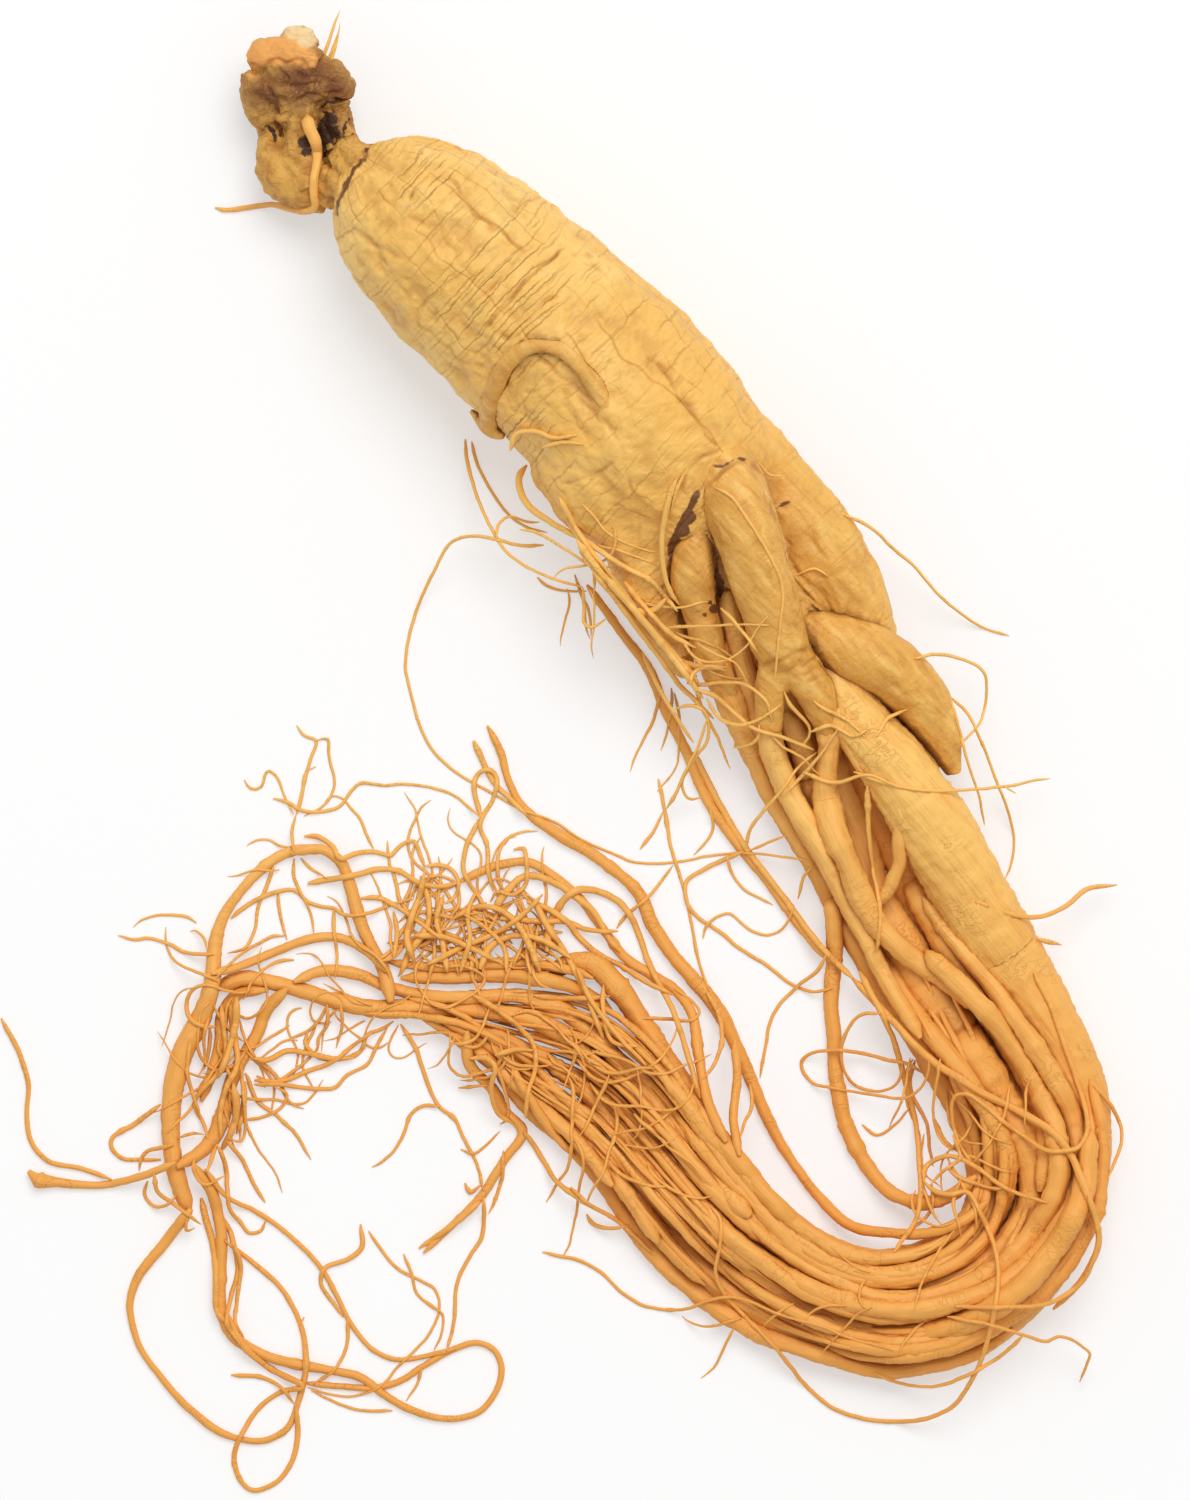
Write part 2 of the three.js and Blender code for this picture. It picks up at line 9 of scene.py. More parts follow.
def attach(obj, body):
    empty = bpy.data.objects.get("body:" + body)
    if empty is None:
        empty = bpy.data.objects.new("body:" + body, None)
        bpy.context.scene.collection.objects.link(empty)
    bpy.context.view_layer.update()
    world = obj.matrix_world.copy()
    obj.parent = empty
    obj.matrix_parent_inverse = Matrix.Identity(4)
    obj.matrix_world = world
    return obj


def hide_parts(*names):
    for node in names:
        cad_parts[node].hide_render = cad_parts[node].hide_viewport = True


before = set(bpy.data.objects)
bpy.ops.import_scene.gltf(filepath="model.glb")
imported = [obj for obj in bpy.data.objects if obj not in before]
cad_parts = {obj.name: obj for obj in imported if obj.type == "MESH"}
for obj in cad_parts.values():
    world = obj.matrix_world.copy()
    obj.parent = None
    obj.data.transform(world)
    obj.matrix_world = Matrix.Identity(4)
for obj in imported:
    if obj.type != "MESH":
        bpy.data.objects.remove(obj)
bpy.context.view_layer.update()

# A fresh ginseng root, lying on a pale table and seen from straight above. Routes and radii are in
# millimetres in the frame of the solid model; meshes are made in metres.
mm = 0.001
node = "ginseng_root"


# Node trees written as sums.

class Value:
    # a socket in a tree; arithmetic on it adds the Math nodes that work it out
    def __init__(self, graph, socket):
        self.graph, self.socket = graph, socket

    def math(self, operation, *others):
        return self.graph.add("ShaderNodeMath", {"operation": operation}, dict(enumerate((self, *others))))

    def __add__(self, other):
        return self.math("ADD", other)

    def __sub__(self, other):
        return self.math("SUBTRACT", other)

    def __mul__(self, other):
        return self.math("MULTIPLY", other)

    def __truediv__(self, other):
        return self.math("DIVIDE", other)

    def __rsub__(self, other):
        return self.graph.add("ShaderNodeMath", {"operation": "SUBTRACT"}, {0: other, 1: self})

    __radd__ = __add__
    __rmul__ = __mul__

    def ramped(self, low, high, start=0.0, end=1.0):  # a smooth step from start at low to end at high
        return self.graph.add("ShaderNodeMapRange", {"interpolation_type": "SMOOTHSTEP"}, {
            "Value": self, "From Min": low, "From Max": high, "To Min": start, "To Max": end})


class Graph:
    def __init__(self, tree):
        self.tree = tree
        tree.nodes.clear()

    def add(self, kind, settings=None, values=None, out=0):
        made = self.tree.nodes.new(kind)
        for name, setting in (settings or {}).items():
            setattr(made, name, setting)
        usable = [socket for socket in made.inputs if not socket.is_unavailable]
        for name, value in (values or {}).items():
            socket = usable[name] if isinstance(name, int) else next(s for s in usable if s.name == name)
            if isinstance(value, Value):
                self.tree.links.new(value.socket, socket)
            else:
                socket.default_value = value
        outputs = [socket for socket in made.outputs if not socket.is_unavailable]
        if not outputs:
            return None
        picked = outputs[out] if isinstance(out, int) else next(s for s in outputs if s.name == out)
        return Value(self, picked)

    def mix(self, share, one, other):
        return self.add("ShaderNodeMix", {"data_type": "RGBA"}, {"Factor": share, "A": one, "B": other})

    def vector(self, operation, *parts, out=0, **named):
        values = {**dict(enumerate(parts)), **named}
        return self.add("ShaderNodeVectorMath", {"operation": operation}, values, out)

    def noise(self, vector, scale, detail=2.0, roughness=0.5, distortion=0.0, out="Fac"):
        return self.add("ShaderNodeTexNoise", None, {
            "Vector": vector, "Scale": scale, "Detail": detail, "Roughness": roughness,
            "Distortion": distortion}, out)

    def threads(self, vector, scale, width, detail=1.0):  # thin winding lines, 1 along their middle
        level = self.noise(vector, scale, detail)
        return (level - 0.5).math("ABSOLUTE").ramped(0.0, width, 1.0, 0.0)

    def sized(self, kind, out=0):  # a place that the tree gives in metres, in millimetres
        return self.vector("SCALE", self.add(kind, out=out), Scale=1 / mm)

    def painted(self, *labels):  # masks that a skin reads
        return [self.add("ShaderNodeAttribute", {"attribute_name": label}, out="Fac") for label in labels]

    def layered(self, colour, tones, layers):  # tones laid over a colour, each by its own share
        for share, tone in layers:
            colour = self.mix(share, colour, tones[tone])
        return colour

    def closed(self, geometry, material):  # the whole tree, giving this geometry in this material
        whole = self.add("GeometryNodeRealizeInstances", None, {"Geometry": geometry})
        skinned = self.add("GeometryNodeSetMaterial", None, {"Geometry": whole, "Material": material})
        leave = self.tree.nodes.new("NodeGroupOutput")
        self.tree.links.new(skinned.socket, leave.inputs[0])
        return self.tree


def newMaterial(name):
    material = bpy.data.materials.new(name)
    material.use_nodes = True
    return material, Graph(material.node_tree)


def linked(name, data):
    made = bpy.data.objects.new(name, data)
    bpy.context.scene.collection.objects.link(made)
    return made


def baked(carrier, **kept):
    # the plain mesh that an object's modifiers make, with the object gone again
    depsgraph = bpy.context.evaluated_depsgraph_get()
    made = bpy.data.meshes.new_from_object(carrier.evaluated_get(depsgraph), depsgraph=depsgraph, **kept)
    bpy.data.objects.remove(carrier)
    return made


def growthTree(name, inputs):
    # a Geometry Nodes tree with named inputs; gives its graph and the input values
    tree = bpy.data.node_groups.new(name, "GeometryNodeTree")
    tree.interface.new_socket(name="Geometry", in_out="INPUT", socket_type="NodeSocketGeometry")
    kinds = {float: "NodeSocketFloat", int: "NodeSocketInt", str: "NodeSocketMaterial"}
    for label, value in inputs.items():
        socket = tree.interface.new_socket(name=label, in_out="INPUT", socket_type=kinds[type(value)])
        if not isinstance(value, str):
            socket.default_value = value
    tree.interface.new_socket(name="Geometry", in_out="OUTPUT", socket_type="NodeSocketGeometry")
    graph = Graph(tree)
    entry = tree.nodes.new("NodeGroupInput")
    return graph, {socket.name: Value(graph, socket) for socket in entry.outputs if socket.name}


def grown(name, mesh, tree, settings):
    # the plain mesh that the tree makes of a mesh
    carrier = linked(name, mesh)
    modifier = carrier.modifiers.new(tree.name, "NODES")
    modifier.node_group = tree
    for item in tree.interface.items_tree:
        if item.in_out == "INPUT" and item.name in settings:
            modifier[item.identifier] = settings[item.name]
    return baked(carrier, preserve_all_data_layers=True)


def finished(name, mesh, material):
    # a finished piece of the root: it rides on the root's body and stands for the solid
    mesh.materials.clear()
    mesh.materials.append(material)
    mesh.polygons.foreach_set("use_smooth", np.ones(len(mesh.polygons), bool))
    piece = linked(name, mesh)
    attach(piece, "root")
    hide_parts(node)
    mesh.calc_loop_triangles()
    print(name, len(mesh.loop_triangles), "triangles")
    return piece


# Routes, and how strands lie on each other.

laying = {
    "settle": 0.85,  # strands nestle together to this share of their radii's sum
    "groundSettle": 0.8,  # a rootlet rests this share of its radius above the skins below it
    "stiffness": 0.4,  # steepest rise or fall of a strand that climbs over another
    "bundleSettle": 0.65,
    "bundleCeiling": 9.0,  # strands of the bundle press in among those that lie there
    "rootletSettle": 0.9,
    "rootletStiffness": 0.55,
    "neckStiffness": 1.2,  # the neck's rootlet falls steeply
    "step": 0.9,  # between samples along a strand
    "rootletStep": 0.7,
    "neckStep": 0.4,
    "strawStep": 0.5,
    "thinnest": 0.05,
    "neighbours": 14,  # only strands nearer than this are looked at
    "skyHeight": 60,  # rootlets drop from here
    "clearance": 0.03,  # between undersides and the table
}


def spline(points, step):
    # samples on a smooth curve through the points, and how far along the list of points each one is
    points = np.asarray(points, float)
    spans = np.sqrt(np.hypot(*np.diff(points[:, :2], axis=0).T))[:, None]
    slopes = np.diff(points, axis=0) / spans
    middle = (slopes[:-1] * spans[1:] + slopes[1:] * spans[:-1]) / (spans[1:] + spans[:-1])
    slopes = np.vstack([slopes[:1], middle, slopes[-1:]])
    samples, places = [], []
    last = len(points) - 2
    for i, (here, there) in enumerate(zip(points[:-1], points[1:])):
        count = max(1, round(np.hypot(*(there - here)[:2]) / step))
        t = np.arange(count + (i == last))[:, None] / count
        samples.append((2 * t**3 - 3 * t**2 + 1) * here + (3 * t**2 - 2 * t**3) * there
                       + spans[i] * ((t**3 - 2 * t**2 + t) * slopes[i] + (t**3 - t**2) * slopes[i + 1]))
        places.append(i + t[:, 0])
    return np.vstack(samples), np.concatenate(places)


def heldRoute(points, step):
    # samples of x, y, z, radius from points of x, y, z, radius
    samples, _ = spline(points, step)
    samples[:, 3] = np.maximum(samples[:, 3], laying["thinnest"])
    return samples


def looseRoute(points, step):
    # samples of x, y, z, radius from points of x, y, radius and, where something holds it up, height
    samples, places = spline([point[:3] for point in points], step)
    heights = np.array([point[3] if len(point) > 3 else np.nan for point in points])
    z = np.interp(places, np.arange(len(points)), heights)
    return np.column_stack([samples[:, :2], z, np.maximum(samples[:, 2], laying["thinnest"])])


class Heap:
    # everything laid so far, which later strands climb over
    def __init__(self):
        self.beads = np.empty((0, 4))
        self.ground = None  # the finished skin of the stout parts

    def heights(self, samples, settle):
        x, y, _, radius = samples.T
        rests = radius.copy()
        margin = laying["neighbours"]
        beadX, beadY = self.beads[:, 0], self.beads[:, 1]
        near = self.beads[(beadX > x.min() - margin) & (beadX < x.max() + margin)
                          & (beadY > y.min() - margin) & (beadY < y.max() + margin)]
        if len(near):
            reach = settle * (radius[:, None] + near[:, 3])
            apart = np.hypot(x[:, None] - near[:, 0], y[:, None] - near[:, 1])
            lift = near[:, 2] + np.sqrt(np.maximum(reach**2 - apart**2, 0))
            rests = np.maximum(rests, np.where(apart < reach, lift, 0).max(axis=1))
        if self.ground:
            for i, sample in enumerate(samples):
                above = Vector((sample[0], sample[1], laying["skyHeight"])) * mm
                hit = self.ground.ray_cast(above, Vector((0, 0, -1)))[0]
                if hit is not None:
                    rests[i] = max(rests[i], hit.z / mm + laying["groundSettle"] * radius[i])
        return rests

    def lay(self, samples, stiffness=laying["stiffness"], settle=laying["settle"], ceiling=math.inf):
        held = ~np.isnan(samples[:, 2])
        rests = np.where(held, samples[:, 2], np.minimum(self.heights(samples, settle), ceiling))
        runs = np.hypot(*np.diff(samples[:, :2], axis=0).T) * stiffness
        for i in range(1, len(rests)):
            if not held[i]:
                rests[i] = max(rests[i], rests[i - 1] - runs[i - 1])
        for i in range(len(rests) - 2, -1, -1):
            if not held[i]:
                rests[i] = max(rests[i], rests[i + 1] - runs[i])
        samples[:, 2] = rests
        self.beads = np.vstack([self.beads, samples])
        return samples

    def layAll(self, routes, step, *manner):
        return [self.lay(looseRoute(route, step), *manner) for route in routes]

    def holdAll(self, routes, step):
        return [self.lay(heldRoute(route, step)) for route in routes]


heap = Heap()


def tubeRings(samples, sides):
    # vertices and faces of a closed tube round the samples, in metres
    along = np.gradient(samples[:, :3], axis=0)
    along /= np.linalg.norm(along, axis=1)[:, None]
    across = np.cross(along, (0, 0, 1))
    across /= np.linalg.norm(across, axis=1)[:, None]
    over = np.cross(across, along)
    turn = np.arange(sides) * 2 * math.pi / sides
    circle = (across[:, None] * np.cos(turn)[None, :, None] + over[:, None] * np.sin(turn)[None, :, None])
    rings = samples[:, None, :3] + circle * samples[:, 3, None, None]
    count = len(samples)
    vertices = np.vstack([rings.reshape(-1, 3), samples[0, :3], samples[-1, :3]]) * mm
    faces = []
    for ring in range(count - 1):
        for side in range(sides):
            a, b = ring * sides + side, ring * sides + (side + 1) % sides
            faces.append((a, b, b + sides, a + sides))
    start, end = count * sides, count * sides + 1
    for side in range(sides):
        a, b = side, (side + 1) % sides
        faces.append((b, a, start))
        faces.append((a + (count - 1) * sides, b + (count - 1) * sides, end))
    return vertices, faces


def tubesMesh(name, routes, sides=48):
    vertices, faces = [], []
    for samples in routes:
        made, sidesOf = tubeRings(samples, sides)
        shift = sum(len(v) for v in vertices)
        vertices.append(made)
        faces += [tuple(corner + shift for corner in face) for face in sidesOf]
    mesh = bpy.data.meshes.new(name)
    mesh.from_pydata(np.vstack(vertices).tolist(), [], faces)
    return mesh


def fused(name, mesh, voxel, smoothing):
    # one skin round everything in the mesh, smoothed
    carrier = linked(name, mesh)
    remesh = carrier.modifiers.new("fuse", "REMESH")
    remesh.mode = "VOXEL"
    remesh.voxel_size = voxel * mm
    smooth = carrier.modifiers.new("settle", "SMOOTH")
    smooth.iterations = smoothing
    smooth.factor = 0.5
    return baked(carrier)


def perVertex(mesh, what):
    flat = np.empty(len(mesh.vertices) * 3, np.float32)
    mesh.vertices.foreach_get(what, flat)
    return flat.reshape(-1, 3).astype(float)


def positions(mesh):
    return perVertex(mesh, "co")


def normals(mesh):
    return perVertex(mesh, "normal")


def layOnTable(mesh):
    # flattens the underside where it would reach into the table
    place = positions(mesh)
    place[:, 2] = np.maximum(place[:, 2], laying["clearance"] * mm)
    mesh.vertices.foreach_set("co", place.astype(np.float32).ravel())
    mesh.update()


def addAttribute(mesh, name, values):
    mesh.attributes.new(name, "FLOAT", "POINT").data.foreach_set("value", np.asarray(values, np.float32))


lineHand = {
    "step": 0.25,  # between marks along a drawn line
    "wander": 0.25,  # to each side
    "fade": 8,  # marks over which an end fades
    "uneven": 0.2,  # share of the strength that comes and goes
    "steepest": 0.05,  # faces that look up less than this aren't marked
}


def lineMask(mesh, lines):
    # how near each upper vertex lies to one of the lines of (strength, width, points), seen from above
    place = positions(mesh) / mm
    facing = normals(mesh)[:, 2] > lineHand["steepest"]
    wander, uneven = lineHand["wander"], lineHand["uneven"]
    marks, strengths, widths = [], [], []
    for strength, width, points in lines:
        rows, _ = spline(points, lineHand["step"])
        t = np.arange(len(rows))
        fade = np.minimum(1, np.minimum(t + 3, len(rows) + 2 - t) / lineHand["fade"])
        rows[:, 0] += wander * np.sin(t * 0.31 + rows[0, 0]) * np.sin(t * 0.13 + rows[0, 1])
        rows[:, 1] += wander * np.cos(t * 0.27 + rows[0, 1]) * np.sin(t * 0.11 + rows[0, 0])
        marks.append(rows)
        strengths.append(strength * fade * (1 - uneven + uneven * np.sin(t * 0.23 + rows[0, 1] * 3)))
        widths.append(np.full(len(rows), width))
    marks, strengths, widths = np.vstack(marks), np.concatenate(strengths), np.concatenate(widths)
    tree = kdtree.KDTree(len(marks))
    for i, (x, y) in enumerate(marks):
        tree.insert((x, y, 0), i)
    tree.balance()
    mask = np.zeros(len(place))
    for i in np.flatnonzero(facing):
        for _, which, distance in tree.find_n((place[i, 0], place[i, 1], 0), 2):
            mask[i] = max(mask[i], strengths[which] * math.exp(-(distance / widths[which]) ** 2))
    return mask


def hollows(mesh, rounds=24):
    # how deep each vertex lies below its surroundings, in millimetres
    place = positions(mesh) / mm
    edges = np.empty(len(mesh.edges) * 2, np.int32)
    mesh.edges.foreach_get("vertices", edges)
    one, other = edges.reshape(-1, 2).T
    degree = np.bincount(np.concatenate([one, other]), minlength=len(place))[:, None]
    soft = place.copy()
    for _ in range(rounds):
        total = np.zeros_like(soft)
        np.add.at(total, one, soft[other])
        np.add.at(total, other, soft[one])
        soft = total / degree
    return np.einsum("ij,ij->i", soft - place, normals(mesh))


# Camera, light and table.

view = {
    "centre": (5.25, 0.3),  # what the camera looks down on
    "tall": 225.0,  # the height of the picture where the root lies
    "level": 8.0,  # height above the table at which that holds
    "distance": 3000.0,
    "sensor": 36.0,
    "clip": (0.1, 20),  # in metres
}
light = {
    "lampPlace": (300, 960, 1780),
    "lampSize": 1300,
    "lampPower": 24.0,
    "skyStrength": 0.56,
    "white": (1, 1, 1, 1),
    "tableSize": 3000,
    "tableTone": (0.97, 0.97, 0.97, 1),
    "paleShare": 0.45,  # how much of the table's own shade the camera doesn't see
}


def makeCamera():
    data = bpy.data.cameras.new("camera")
    data.sensor_width = view["sensor"]
    data.lens = view["sensor"] * view["distance"] / view["tall"]
    data.clip_start, data.clip_end = view["clip"]
    camera = linked("camera", data)
    camera.location = Vector((*view["centre"], view["level"] + view["distance"])) * mm
    bpy.context.scene.camera = camera


def makeLight():
    lamp = bpy.data.lights.new("softBox", "AREA")
    lamp.shape = "DISK"
    lamp.size = light["lampSize"] * mm
    lamp.energy = light["lampPower"]
    box = linked("softBox", lamp)
    box.location = Vector(light["lampPlace"]) * mm
    box.rotation_euler = (-Vector(light["lampPlace"])).to_track_quat("-Z", "Y").to_euler()
    world = bpy.data.worlds.new("studio")
    world.use_nodes = True
    graph = Graph(world.node_tree)
    path = graph.add("ShaderNodeLightPath", out="Is Camera Ray")
    white = light["white"]
    sky = graph.add("ShaderNodeBackground", values={"Color": white, "Strength": light["skyStrength"]})
    bright = graph.add("ShaderNodeBackground", values={"Color": white, "Strength": 1.0})
    seen = graph.add("ShaderNodeMixShader", values={0: path, 1: sky, 2: bright})
    graph.add("ShaderNodeOutputWorld", values={"Surface": seen})
    bpy.context.scene.world = world


def makeTable():
    half = light["tableSize"] / 2 * mm
    mesh = bpy.data.meshes.new("table")
    corners = [(-half, -half, 0), (half, -half, 0), (half, half, 0), (-half, half, 0)]
    mesh.from_pydata(corners, [], [(0, 1, 2, 3)])
    material, graph = newMaterial("whiteTable")
    matt = graph.add("ShaderNodeBsdfDiffuse", values={"Color": light["tableTone"]})
    bright = graph.add("ShaderNodeEmission", values={"Color": light["white"], "Strength": 1.0})
    path = graph.add("ShaderNodeLightPath", out="Is Camera Ray")
    seen = graph.add("ShaderNodeMixShader", values={0: path * light["paleShare"], 1: matt, 2: bright})
    graph.add("ShaderNodeOutputMaterial", values={"Surface": seen})
    mesh.materials.append(material)
    table = linked("table", mesh)


makeCamera()
makeLight()
makeTable()
bpy.context.scene.view_settings.view_transform = "Standard"
print("camera, light and table")


# Skins. The same lines are cut into the body's shape and drawn in its skin.

skin = {
    "pale": (0.95, 0.62, 0.185, 1),
    "tan": (0.88, 0.5, 0.115, 1),
    "olive": (0.7, 0.43, 0.115, 1),
    "warm": (0.9, 0.47, 0.085, 1),
    "arm": (0.72, 0.34, 0.055, 1),
    # the painted shade deep between parts
    "gapShade": (0.26, 0.1, 0.02, 1),
    # the colour of the skin's creases and wrinkles, and of the shade painted in its hollows and dips
    "crease": (0.52, 0.21, 0.034, 1),
    "ring": (0.36, 0.16, 0.035, 1),
    "rust": (0.72, 0.25, 0.04, 1),
    # the painted shadow in cavities and clefts
    "paintedShadow": (0.19, 0.07, 0.018, 1),
    "gloss": 0.4,
    "rough": (0.38, 0.6),
    "bumpStrength": 0.6,
    "bumpHeight": 0.36,
    "turn": math.radians(44.5),  # turns the body's length onto the x axis
    "axisY": 42.6,  # the body's middle line once turned
    "axisZ": 14.0,
    "girth": 15.0,  # turns an angle round that line into a length
    "ringSpacing": 0.95,
    "wideRingSpacing": 2.3,
    "lengthSpacing": 4.2,
    "crowds": [(-54.0, 44.0, 10.5), (-74.5, 47.0, 5.0), (-36.0, 30.0, 5.0)],  # x, y, reach of crowded rings
}


def axes(graph, vector):
    parts = graph.add("ShaderNodeSeparateXYZ", None, {"Vector": vector}).socket.node.outputs
    return [Value(graph, part) for part in parts]


def brokenLines(graph, place, spacing, width, low, high, more=None):
    # broken lines across the first axis, each with its own place, length and strength
    x, y, z = axes(graph, place)
    count = x / spacing + (graph.noise(graph.vector("SCALE", place, Scale=0.09), 1.0, 2) - 0.5) * 1.6
    which = count.math("FLOOR")
    chance = graph.add("ShaderNodeTexWhiteNoise", {"noise_dimensions": "1D"}, {"W": which + spacing})
    off = (count.math("FRACT") - chance * 0.5 - 0.25).math("ABSOLUTE") * spacing
    spot = graph.add("ShaderNodeCombineXYZ", None, {"X": which * 3.7, "Y": y * 0.085, "Z": z * 0.085})
    share = graph.noise(spot, 1.0, 2, 0.6)
    if more is not None:
        share = share + more
    return off.ramped(0.0, width, 1.0, 0.0) * share.ramped(low, high) * (chance * 0.5 + 0.5)


def crowding(x, y):
    # where rings crowd together
    crowd = None
    for placeX, placeY, reach in skin["crowds"]:
        off = ((x - placeX) * (x - placeX) + (y - placeY) * (y - placeY) * 0.5).math("SQRT")
        here = off.ramped(reach * 0.4, reach, 1.0, 0.0)
        crowd = here if crowd is None else crowd.math("MAXIMUM", here)
    return crowd


def skinLines(graph, inMm, calm, side):
    # rings, lengthwise lines and soft puckers of the skin, with the turned place they are worked out at;
    # calm skin has faint lines, and where side is 1 they don't run round the body's middle line
    lined = graph.add("ShaderNodeVectorRotate", {"rotation_type": "Z_AXIS"}, {
        "Vector": inMm, "Angle": skin["turn"]})
    x, y, z = axes(graph, lined)
    around = (y - skin["axisY"]).math("ARCTAN2", z - skin["axisZ"]) * skin["girth"] * (1 - side) + y * side
    crowd = crowding(x, y)
    ragged = graph.vector("ADD", lined, graph.vector("SCALE", graph.noise(
        graph.vector("SCALE", lined, Scale=0.5), 1.0, 3, 0.6, out="Color"), Scale=1.1))
    rings = brokenLines(graph, ragged, skin["ringSpacing"], 0.17, 0.52, 0.7, crowd * 0.13)
    wideRings = brokenLines(graph, ragged, skin["wideRingSpacing"], 0.22, 0.4, 0.62)
    rings = rings.math("MAXIMUM", wideRings * 0.8)
    length = graph.add("ShaderNodeCombineXYZ", None, {"X": around, "Y": x, "Z": z})
    wrinkles = brokenLines(graph, length, skin["lengthSpacing"], 0.28, 0.46, 0.58)
    soft = graph.noise(graph.vector("MULTIPLY", length, (0.2, 0.13, 0.1)), 1.0, 2, 0.5) - 0.5
    pucker = graph.noise(graph.vector("MULTIPLY", length, (0.34, 0.55, 0.3)), 1.0, 2, 0.55) - 0.5
    loud = 1 - calm * 0.7
    return lined, rings * loud, wrinkles * loud, soft, pucker * loud, crowd


def coated(graph, material, tones, colour, roughness, relief):
    # the material with its colour, roughness and small relief joined to the shader
    bump = graph.add("ShaderNodeBump", None, {
        "Strength": tones["bumpStrength"], "Distance": tones["bumpHeight"] * mm, "Height": relief})
    surface = graph.add("ShaderNodeBsdfPrincipled", None, {
        "Base Color": colour, "Roughness": roughness, "Normal": bump, "Specular IOR Level": tones["gloss"]})
    graph.add("ShaderNodeOutputMaterial", None, {"Surface": surface})
    return material


def bodySkin():
    material, graph = newMaterial("bodySkin")
    inMm = graph.sized("ShaderNodeTexCoord", "Object")
    calm, side, crease, hollow, paintedShadow, shade = graph.painted(
        "calm", "side", "crease", "hollow", "paintedShadow", "shade")
    lined, rings, wrinkles, soft, pucker, crowd = skinLines(graph, inMm, calm, side)
    broad = graph.noise(graph.vector("SCALE", lined, Scale=0.06), 1.0, 3)
    patch = graph.noise(graph.vector("SCALE", lined, Scale=0.2), 1.0, 3, 0.6)
    mottle = graph.noise(graph.vector("SCALE", lined, Scale=0.7), 1.0, 3, 0.65)
    streak = graph.noise(graph.vector("MULTIPLY", lined, (0.16, 0.7, 0.5)), 1.0, 4, 0.6)
    down = axes(graph, lined)[0]
    colour = graph.layered(graph.mix(broad.ramped(0.38, 0.62), skin["tan"], skin["pale"]), skin, [
        (patch.ramped(0.5, 0.72) * 0.5, "olive"),
        (mottle.ramped(0.46, 0.7) * 0.3, "pale"),
        (mottle.ramped(0.3, 0.5, 0.3, 0.0), "tan"),
        (down.ramped(-50, -15, 0.0, 0.5), "warm"),
        (calm * 0.6, "arm"),
        (calm * streak.ramped(0.5, 0.66, 0.0, 0.5), "crease"),
        (calm * streak.ramped(0.34, 0.48, 0.5, 0.0), "pale"),
        # painted shade: the dips of the soft puckers and the hollows of the skin deepen in colour
        ((soft + pucker * 0.6).ramped(-0.24, 0.0, 0.34, 0.0), "crease"),
        (hollow.ramped(0.0, 0.5) * 0.45, "tan"),
        (hollow.ramped(0.15, 1.1) * 0.48, "crease")])
    wrinkleTone = graph.mix(patch.ramped(0.44, 0.56), skin["crease"], skin["rust"])
    ringTone = graph.mix(crowd.ramped(0.2, 0.8), skin["crease"], skin["ring"])
    colour = graph.mix(wrinkles * 0.65, colour, wrinkleTone)
    colour = graph.mix(rings * crowd.ramped(0.2, 0.8, 0.55, 0.95), colour, ringTone)
    spots = graph.add("ShaderNodeTexVoronoi", None, {"Vector": lined, "Scale": 0.1}, "Distance")
    # painted shadow: nearly black in cavities and clefts, ragged at its edge
    ragged = paintedShadow + (mottle - 0.5) * 1.2 * paintedShadow.ramped(0.0, 0.4)
    colour = graph.layered(colour, skin, [
        # the drawn creases deepen in colour: partly the skin's own lines, partly painted shade in their
        # grooves
        (crease.ramped(0.2, 0.8) * 0.72, "crease"),
        (crease.ramped(0.65, 1.0) * 0.5, "ring"),
        (spots.ramped(0.02, 0.12, 0.6, 0.0), "rust"),
        # painted shade: places closed in between parts turn deep brown
        (shade.ramped(0.16, 0.62) * 0.9, "gapShade"),
        (ragged.ramped(0.35, 0.75), "paintedShadow")])
    grain = graph.noise(graph.vector("SCALE", lined, Scale=2.0), 1.0, 4, 0.6)
    cells = graph.noise(graph.vector("MULTIPLY", lined, (0.95, 0.6, 0.8)), 1.0, 3, 0.6, 0.6)
    relief = grain * 0.3 + cells * 1.3 - rings * 0.6 - wrinkles * 0.6 + pucker * 0.8
    return coated(graph, material, skin, colour, grain.ramped(0.3, 0.7, *skin["rough"]), relief)


strandTones = {
    "gloss": 0.4,
    "rough": (0.44, 0.6),
    "bumpStrength": 0.6,
    "bumpHeight": 0.3,
    "light": (0.96, 0.55, 0.145, 1),
    "middle": (0.92, 0.46, 0.1, 1),
    "deep": (0.68, 0.26, 0.04, 1),
    # deeper orange of strands lying low, as painted shade, and of some strands at random
    "low": (0.84, 0.36, 0.062, 1),
    "orange": (0.86, 0.345, 0.055, 1),
    "pale": (0.95, 0.57, 0.145, 1),
    # the painted shade deep between strands
    "gapShade": (0.5, 0.16, 0.03, 1),
}


